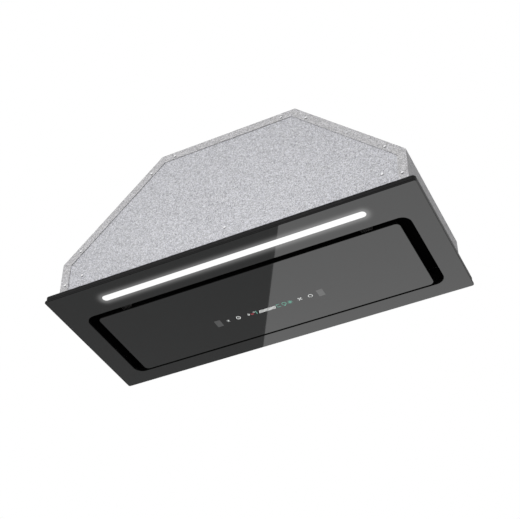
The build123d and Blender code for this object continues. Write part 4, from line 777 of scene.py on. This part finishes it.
def draw_steps(pen):
    """Two level strokes joined at one side."""
    pen.bar((-0.6, 0.9), (0.9, 0.9), 1.0)
    pen.bar((-0.7, -0.8), (0.8, -0.8), 1.0)
    pen.bar((-0.65, -0.8), (-0.6, 0.9), 0.7)


def draw_timer(pen):
    """A ring with a knob and one hand."""
    pen.ring(0, -0.1, 0.9)
    pen.bar((-0.35, 1.15), (0.35, 1.15))
    pen.bar((0, 0.8), (0, 1.15))
    pen.bar((0, -0.1), (0.25, 0.2), 0.5)


def draw_star(pen):
    """Four crossing strokes."""
    for index in range(4):
        turn = index * pi / 4 + pi / 8
        pen.bar(towards(turn, -1.15), towards(turn, 1.15), 0.8)


def symbol_piece(name, material, drawings):
    """One piece from several symbols of one colour."""
    mesh = bmesh.new()
    for x, draw in drawings:
        draw(SymbolPen(mesh, x * MM))
    return new_piece(name, tidy_mesh(mesh), "panel", material)


def repeat(mesh, geometry, count, step):
    """Copies geometry along a step, and returns it with all its copies."""
    whole = list(geometry)
    for index in range(1, count):
        copied = bmesh.ops.duplicate(mesh, geom=geometry)["geom"]
        corners = [part for part in copied if isinstance(part, bmesh.types.BMVert)]
        bmesh.ops.translate(mesh, verts=corners, vec=Vector(step) * index)
        whole += copied
    return whole


def add_lattice(mesh, x_low, x_high, y_low, y_high, level, thickness):
    """A field of diamonds between four limits: one diamond, repeated along X and then along Y."""
    cell, strand = sizes().mesh_cell, sizes().mesh_strand
    columns = max(1, round((x_high - x_low) / cell))
    rows = max(1, round((y_high - y_low) / (cell * 0.55)))
    width, depth = (x_high - x_low) / columns, (y_high - y_low) / rows
    before = set(mesh.verts)
    points = [(x_low, y_low), (x_low + width / 2, y_low + depth / 2), (x_low + width, y_low)]
    for first, second in zip(points, points[1:]):
        for flip in (1, -1):
            ends = [(x, y if flip > 0 else 2 * y_low + depth - y) for x, y in (first, second)]
            add_bar(mesh, *ends, strand, level - thickness / 2, level + thickness / 2)
    corners = [corner for corner in mesh.verts if corner not in before]
    diamond = corners + [edge for corner in corners for edge in corner.link_edges]
    diamond += [face for corner in corners for face in corner.link_faces]
    row = repeat(mesh, list(dict.fromkeys(diamond)), columns, (width, 0, 0))
    repeat(mesh, row, rows, (0, depth, 0))


def expanded_mesh(node, name, body, material):
    """Layers of expanded aluminium that stand for a filter's core, with room for the latch."""
    low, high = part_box(node)
    middle = (low.x + high.x) / 2
    room_left, room_right = middle - LATCH_ROOM_HALF, middle + LATCH_ROOM_HALF
    mesh = bmesh.new()
    for layer in range(MESH_LAYERS):
        level = low.z + (high.z - low.z) * (0.2 + 0.3 * layer)
        slip = layer * sizes().mesh_cell / 6
        y_low, y_high = low.y + slip, high.y - sizes().mesh_cell / 3 + slip
        fields = (
            (low.x + slip, room_left, y_low, y_high),
            (room_left, room_right, low.y + LATCH_ROOM_DEPTH + slip, y_high),
            (room_right, high.x - slip, y_low, y_high),
        )
        for field in fields:
            add_lattice(mesh, *field, level, MESH_SHEET)
    return new_piece(name, mesh, body, material, (node,))


class HOOD_OT_glass(bpy.types.Operator):
    """Gives both glasses their polish and their ground edges"""

    bl_idname = "hood.glass"
    bl_label = "Face glass and panel glass"

    def execute(self, context):
        # The face glass carries the painted glow around the lamp.
        dress(black_glass("face_glass", lamp_glow=True), "glass_frame")
        dress(black_glass("drop_panel_glass"), "panel_glass")
        dress(foam_tape("bonding_tape"), "glass_tape", "panel_tape")
        return {"FINISHED"}


class HOOD_OT_lamp(bpy.types.Operator):
    """Dresses the lamp lens, its channel, caps and strip board"""

    bl_idname = "hood.lamp"
    bl_label = "Lamp"

    def execute(self, context):
        dress(milky_lens("lamp_lens"), "light_diffuser")
        dress(rolled_aluminium("channel_aluminium"), "lamp_channel")
        dress(moulded_plastic("cap_plastic", colours().plastic), "lamp_caps")
        dress(moulded_plastic("strip_board", (0.80, 0.80, 0.76), rough=0.4), "lamp_board")
        return {"FINISHED"}


class HOOD_OT_display(bpy.types.Operator):
    """Draws the lit symbols, the slider and the two sensor windows on the panel glass"""

    bl_idname = "hood.display"
    bl_label = "Display"

    def execute(self, context):
        tone = colours()
        left = [(LAMP_X, draw_lamp), (CLOCK_X, draw_clock), (HOOK_X, draw_hook), (MARK_X, draw_mark)]
        right = [(FAN_X, draw_fan), (POWER_X, draw_power)]
        settings = [(STEPS_X, draw_steps), (TIMER_X, draw_timer), (STAR_X, draw_star)]
        white = lit_symbol("symbol_white", tone.symbol, strength=1.5)
        green = lit_symbol("symbol_green", tone.symbol_green, strength=1.2)
        red = lit_symbol("symbol_red", tone.symbol_red, strength=1.1)
        symbol_piece("symbols_white", white, left + right)
        symbol_piece("symbols_green", green, [(STROKE_X, draw_stroke)] + settings)
        symbol_piece("symbols_red", red, [(CORNER_X, draw_corner)])
        self.slider(lit_symbol("slider_white", tone.symbol, strength=1.1))
        self.windows()
        return {"FINISHED"}

    def slider(self, material):
        """A row of slanted bars."""
        mesh = bmesh.new()
        count = sizes().slider_bars
        pitch = sizes().slider_length / count
        middle = DISPLAY_Y + SLIDER_LIFT
        for index in range(count):
            x = (index - (count - 1) / 2) * pitch + SLIDER_X
            foot = (x + SLIDER_LEAN, middle - SLIDER_RISE)
            head = (x - SLIDER_LEAN, middle + SLIDER_RISE)
            add_bar(mesh, foot, head, pitch * SLIDER_BAR_SHARE, *print_levels())
        new_piece("slider_bars", tidy_mesh(mesh), "panel", material)

    def windows(self):
        """The two sensor windows."""
        mesh = bmesh.new()
        for x in WINDOW_XS:
            ends = (x - WINDOW_HALF, DISPLAY_Y), (x + WINDOW_HALF, DISPLAY_Y)
            add_bar(mesh, *ends, WINDOW_DEPTH, *print_levels())
        new_piece("sensor_windows", tidy_mesh(mesh), "panel", sensor_window("window_print"))


class HOOD_OT_casing(bpy.types.Operator):
    """Dresses the galvanised casing, the filter seats, the throat plate, and the rivets and screws"""

    bl_idname = "hood.casing"
    bl_label = "Casing"

    def execute(self, context):
        tone = colours()
        dress(galvanised("sheet_zinc", tone.zinc), "front_sheet", "filter_seats", "throat_plate")
        # The rear sheet gets painted shade on its inner face, where it lies in the chamber's shade.
        dress(galvanised("rear_zinc", tone.zinc, shade_inside_chamber=True), "rear_sheet")
        dress(galvanised("wrap_zinc", tone.wrap_zinc), "casing_wrap")
        dress(rivet_painted_light("rivet_painted_light"), "casing_rivets")
        dress(plated_steel("screw_steel"), "casing_screws")
        return {"FINISHED"}


class HOOD_OT_tray(bpy.types.Operator):
    """Dresses the black tray, the chamber's walls, the filter deck and the magnets' brackets"""

    bl_idname = "hood.tray"
    bl_label = "Tray and chamber"

    def execute(self, context):
        # Partly a real black coat, partly painted shade: the liner and deck are made darker and duller than
        # the tray's black, standing in for the deep shade inside the chamber.
        chamber = powder_coat("chamber_shade_coat", rough=0.7, gloss=0.03, lift=0.4)
        dress(powder_coat("tray_coat", rough=0.2, gloss=0.1, lift=0.8), "base_tray")
        dress(chamber, "suction_liner", "filter_deck")
        dress(powder_coat("strap_coat", rough=0.5, gloss=0.3, lift=5.0), "magnet_brackets")
        return {"FINISHED"}


class HOOD_OT_filters(bpy.types.Operator):
    """Dresses the filter rims and latches and lays expanded mesh in place of the plain cores"""

    bl_idname = "hood.filters"
    bl_label = "Grease filters"

    def execute(self, context):
        dress(rolled_aluminium("filter_rim"), "filter_frame_left", "filter_frame_right")
        dress(moulded_plastic("latch_plastic", colours().plastic), "filter_latch_left", "filter_latch_right")
        strands = rolled_aluminium("mesh_strands", across=True)
        for side in ("left", "right"):
            expanded_mesh("filter_core_" + side, "mesh_" + side, "filter_" + side, strands)
        return {"FINISHED"}


class HOOD_OT_panel(bpy.types.Operator):
    """Dresses what sits behind the panel glass, with the hinges, the catches and all pivot pins"""

    bl_idname = "hood.panel"
    bl_label = "Panel, hinges and catches"

    def execute(self, context):
        dress(powder_coat("pan_coat", rough=0.5, gloss=0.2), "panel_pan")
        dress(moulded_plastic("housing_plastic", colours().plastic), "control_housing")
        dress(circuit_board("touch_board_green", ABOVE_EVERYTHING, (0.02, 0.02, 0.02)), "touch_board")
        dress(moulded_plastic("light_blocks", colours().pale, rough=0.3), "display_lamps")
        steel = plated_steel("hinge_steel")
        dress(steel, "hinge_arms", "hinge_brackets", "pivot_pins", "panel_screws", "strike_plates")
        dress(magnet_nickel("magnet_nickel"), "panel_magnets")
        return {"FINISHED"}


class HOOD_OT_blower(bpy.types.Operator):
    """Dresses the blower and its motor"""

    bl_idname = "hood.blower"
    bl_label = "Blower and motor"

    def execute(self, context):
        zinc = galvanised("scroll_zinc", colours().zinc)
        dress(zinc, "blower_band", "blower_sides", "inlet_rings", "motor_bracket")
        wheel = moulded_plastic("impeller_plastic", colours().grey, rough=0.42)
        dress(wheel, "impeller", "impeller_blades")
        dress(plated_steel("shaft_steel"), "impeller_nut", "motor_shaft", "motor_bearings")
        dress(rolled_aluminium("stack_steel"), "motor_rotor", "motor_stator")
        dress(motor_paint("motor_shell"), "motor_can")
        dress(rubber("bush_rubber"), "motor_bushes", "blower_feet")
        break_edges(sizes().edge_break, "motor_can")
        return {"FINISHED"}


class HOOD_OT_outlet(bpy.types.Operator):
    """Dresses the duct collar and its flaps"""

    bl_idname = "hood.outlet"
    bl_label = "Duct collar"

    def execute(self, context):
        plastic = moulded_plastic("collar_plastic", colours().plastic, rough=0.48)
        dress(plastic, "outlet_collar", "damper_flap_front", "damper_flap_rear")
        break_edges(sizes().edge_break, "outlet_collar", "damper_flap_front", "damper_flap_rear")
        return {"FINISHED"}


class HOOD_OT_electrics(bpy.types.Operator):
    """Dresses the control box, its board, the driver, the capacitor, the leads and the gland"""

    bl_idname = "hood.electrics"
    bl_label = "Electrical parts"

    def execute(self, context):
        tone = colours()
        low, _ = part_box("power_board")
        board_top = low.z + MAINS_BOARD_SKIN
        dress(moulded_plastic("box_plastic", tone.grey), "control_box", "control_lid")
        dress(circuit_board("mains_board_green", board_top, (0.03, 0.03, 0.032)), "power_board")
        dress(moulded_plastic("driver_plastic", tone.pale, rough=0.38), "lamp_driver", "run_capacitor")
        dress(lead_sheath("lead_sheath"), "motor_lead", "lamp_lead")
        dress(moulded_plastic("gland_plastic", tone.plastic, rough=0.4), "cable_gland")
        break_edges(sizes().edge_break, "cable_gland")
        return {"FINISHED"}


def stage_material(name, colour, strength=None):
    """A plain stage material: a matt colour, or a card of even light."""
    finish = Finish(name)
    if strength is None:
        return finish.finish({"Base Color": colour, "Roughness": 0.9})
    card = finish.node("ShaderNodeEmission", inputs={"Color": colour, "Strength": strength})
    finish.node("ShaderNodeOutputMaterial", inputs={"Surface": card})
    return finish.material


def stage_sheet(name, corners, material):
    """A flat stage piece between corners."""
    mesh = bmesh.new()
    bmesh.ops.contextual_create(mesh, geom=[mesh.verts.new(corner) for corner in corners])
    data = bpy.data.meshes.new(name)
    mesh.to_mesh(data)
    mesh.free()
    data.materials.append(material)
    piece = bpy.data.objects.new(name, data)
    bpy.context.scene.collection.objects.link(piece)
    return piece


class HOOD_OT_stage(bpy.types.Operator):
    """Sets up the camera, the lamps, the white surroundings and the floor"""

    bl_idname = "hood.stage"
    bl_label = "Stage"

    def execute(self, context):
        scene = context.scene
        scene.view_settings.view_transform = "Standard"
        self.camera(scene)
        self.surroundings(scene)
        self.lamp("key", place=(-0.75, -2.7, 1.1), side=1.3, power=26.0)
        self.lamp("top_fill", place=(-0.6, 0.6, 2.6), side=2.4, power=24.0)
        self.floor()
        self.cards()
        return {"FINISHED"}

    def camera(self, scene):
        """The camera that took the photograph."""
        data = bpy.data.cameras.new("camera")
        data.lens = CAMERA_LENS
        data.sensor_width = 36.0
        data.sensor_fit = "HORIZONTAL"
        data.clip_start = 0.05
        camera = bpy.data.objects.new("camera", data)
        turn = Matrix((CAMERA_RIGHT, CAMERA_UP, CAMERA_BACK)).transposed().to_4x4()
        camera.matrix_world = Matrix.Translation(CAMERA_PLACE) @ turn
        scene.collection.objects.link(camera)
        scene.camera = camera

    def surroundings(self, scene):
        """White to the camera and in reflections, plain grey light on everything else."""
        world = bpy.data.worlds.new("surroundings")
        scene.world = world
        nodes = Nodes(world)
        camera, glossy, through = (
            nodes.node("ShaderNodeLightPath", out=ray)
            for ray in ("Is Camera Ray", "Is Glossy Ray", "Is Transmission Ray")
        )
        white = (1.0, 1.0, 1.0)
        ambient = nodes.node("ShaderNodeBackground", inputs={"Color": white, "Strength": AMBIENT})
        bright = nodes.node("ShaderNodeBackground", inputs={"Color": white})
        seen = (camera + glossy + through).limited()
        blend = nodes.node("ShaderNodeMixShader", inputs={0: seen, 1: ambient, 2: bright})
        nodes.node("ShaderNodeOutputWorld", inputs={"Surface": blend})

    def lamp(self, name, place, side, power):
        """A square lamp that is turned to the hood."""
        data = bpy.data.lights.new(name, "AREA")
        data.shape = "SQUARE"
        data.size = side
        data.energy = power
        lamp = bpy.data.objects.new(name, data)
        aim = Vector(LAMP_AIM) - Vector(place)
        lamp.matrix_world = Matrix.Translation(place) @ aim.to_track_quat("-Z", "Y").to_matrix().to_4x4()
        bpy.context.scene.collection.objects.link(lamp)

    def floor(self):
        """A wide floor that keeps the hood's shadow."""
        signs = ((-1, -1), (1, -1), (1, 1), (-1, 1))
        corners = [(across * FLOOR_REACH, along * FLOOR_REACH, FLOOR_LEVEL) for across, along in signs]
        stage_sheet("floor", corners, stage_material("floor_paint", colours().floor))

    def cards(self):
        """Cards that only reflections see: a grey and a white one below, and a grey one behind."""
        edge = [(x, y, CARD_LEVEL) for x, y in SHEEN_EDGE]
        left = [(CARD_LEFT, CARD_REAR, CARD_LEVEL), (CARD_LEFT, CARD_FRONT, CARD_LEVEL)]
        right = [(CARD_RIGHT, CARD_FRONT, CARD_LEVEL), (CARD_RIGHT, CARD_REAR, CARD_LEVEL)]
        outline = (
            (0.0, REAR_CARD_LOW),
            (REAR_CARD_WIDTH, REAR_CARD_LOW),
            (REAR_CARD_WIDTH, REAR_CARD_TOP),
            (0.0, REAR_CARD_TOP),
        )
        behind = [(x, REAR_CARD_Y, z) for x, z in outline]
        for name, corners, strength in (
            ("low_grey_card", edge + left, 0.26),
            ("low_white_card", edge[::-1] + right, 1.02),
            ("rear_card", behind, 0.45),
        ):
            card = stage_sheet(name, corners, stage_material(name + "_grey", (1.0, 1.0, 1.0), strength))
            card.visible_camera = False
            card.visible_diffuse = False
            card.visible_shadow = False
            card.visible_transmission = False


class HOOD_PT_panel(bpy.types.Panel):
    """Lists the hood's steps, colours and sizes"""

    bl_idname = "HOOD_PT_panel"
    bl_label = "Range hood"
    bl_space_type = "VIEW_3D"
    bl_region_type = "UI"
    bl_category = "Range hood"

    def draw(self, context):
        for step in STEPS:
            self.layout.operator(step.bl_idname)
        for group in (context.scene.hood_colours, context.scene.hood_sizes):
            for key in group.__annotations__:
                self.layout.prop(group, key)


STEPS = (
    HOOD_OT_stage,
    HOOD_OT_glass,
    HOOD_OT_lamp,
    HOOD_OT_display,
    HOOD_OT_casing,
    HOOD_OT_tray,
    HOOD_OT_filters,
    HOOD_OT_panel,
    HOOD_OT_blower,
    HOOD_OT_outlet,
    HOOD_OT_electrics,
)
CLASSES = (HoodColours, HoodSizes, *STEPS, HOOD_PT_panel)


def register():
    """Registers the classes and the scene's properties."""
    for one in CLASSES:
        bpy.utils.register_class(one)
    bpy.types.Scene.hood_colours = PointerProperty(type=HoodColours)
    bpy.types.Scene.hood_sizes = PointerProperty(type=HoodSizes)


def unregister():
    """Takes them out again."""
    del bpy.types.Scene.hood_sizes
    del bpy.types.Scene.hood_colours
    for one in reversed(CLASSES):
        bpy.utils.unregister_class(one)


def main():
    """Runs every step."""
    register()
    for step in STEPS:
        group, name = step.bl_idname.split(".")
        getattr(getattr(bpy.ops, group), name)()


if __name__ == "__main__":
    main()
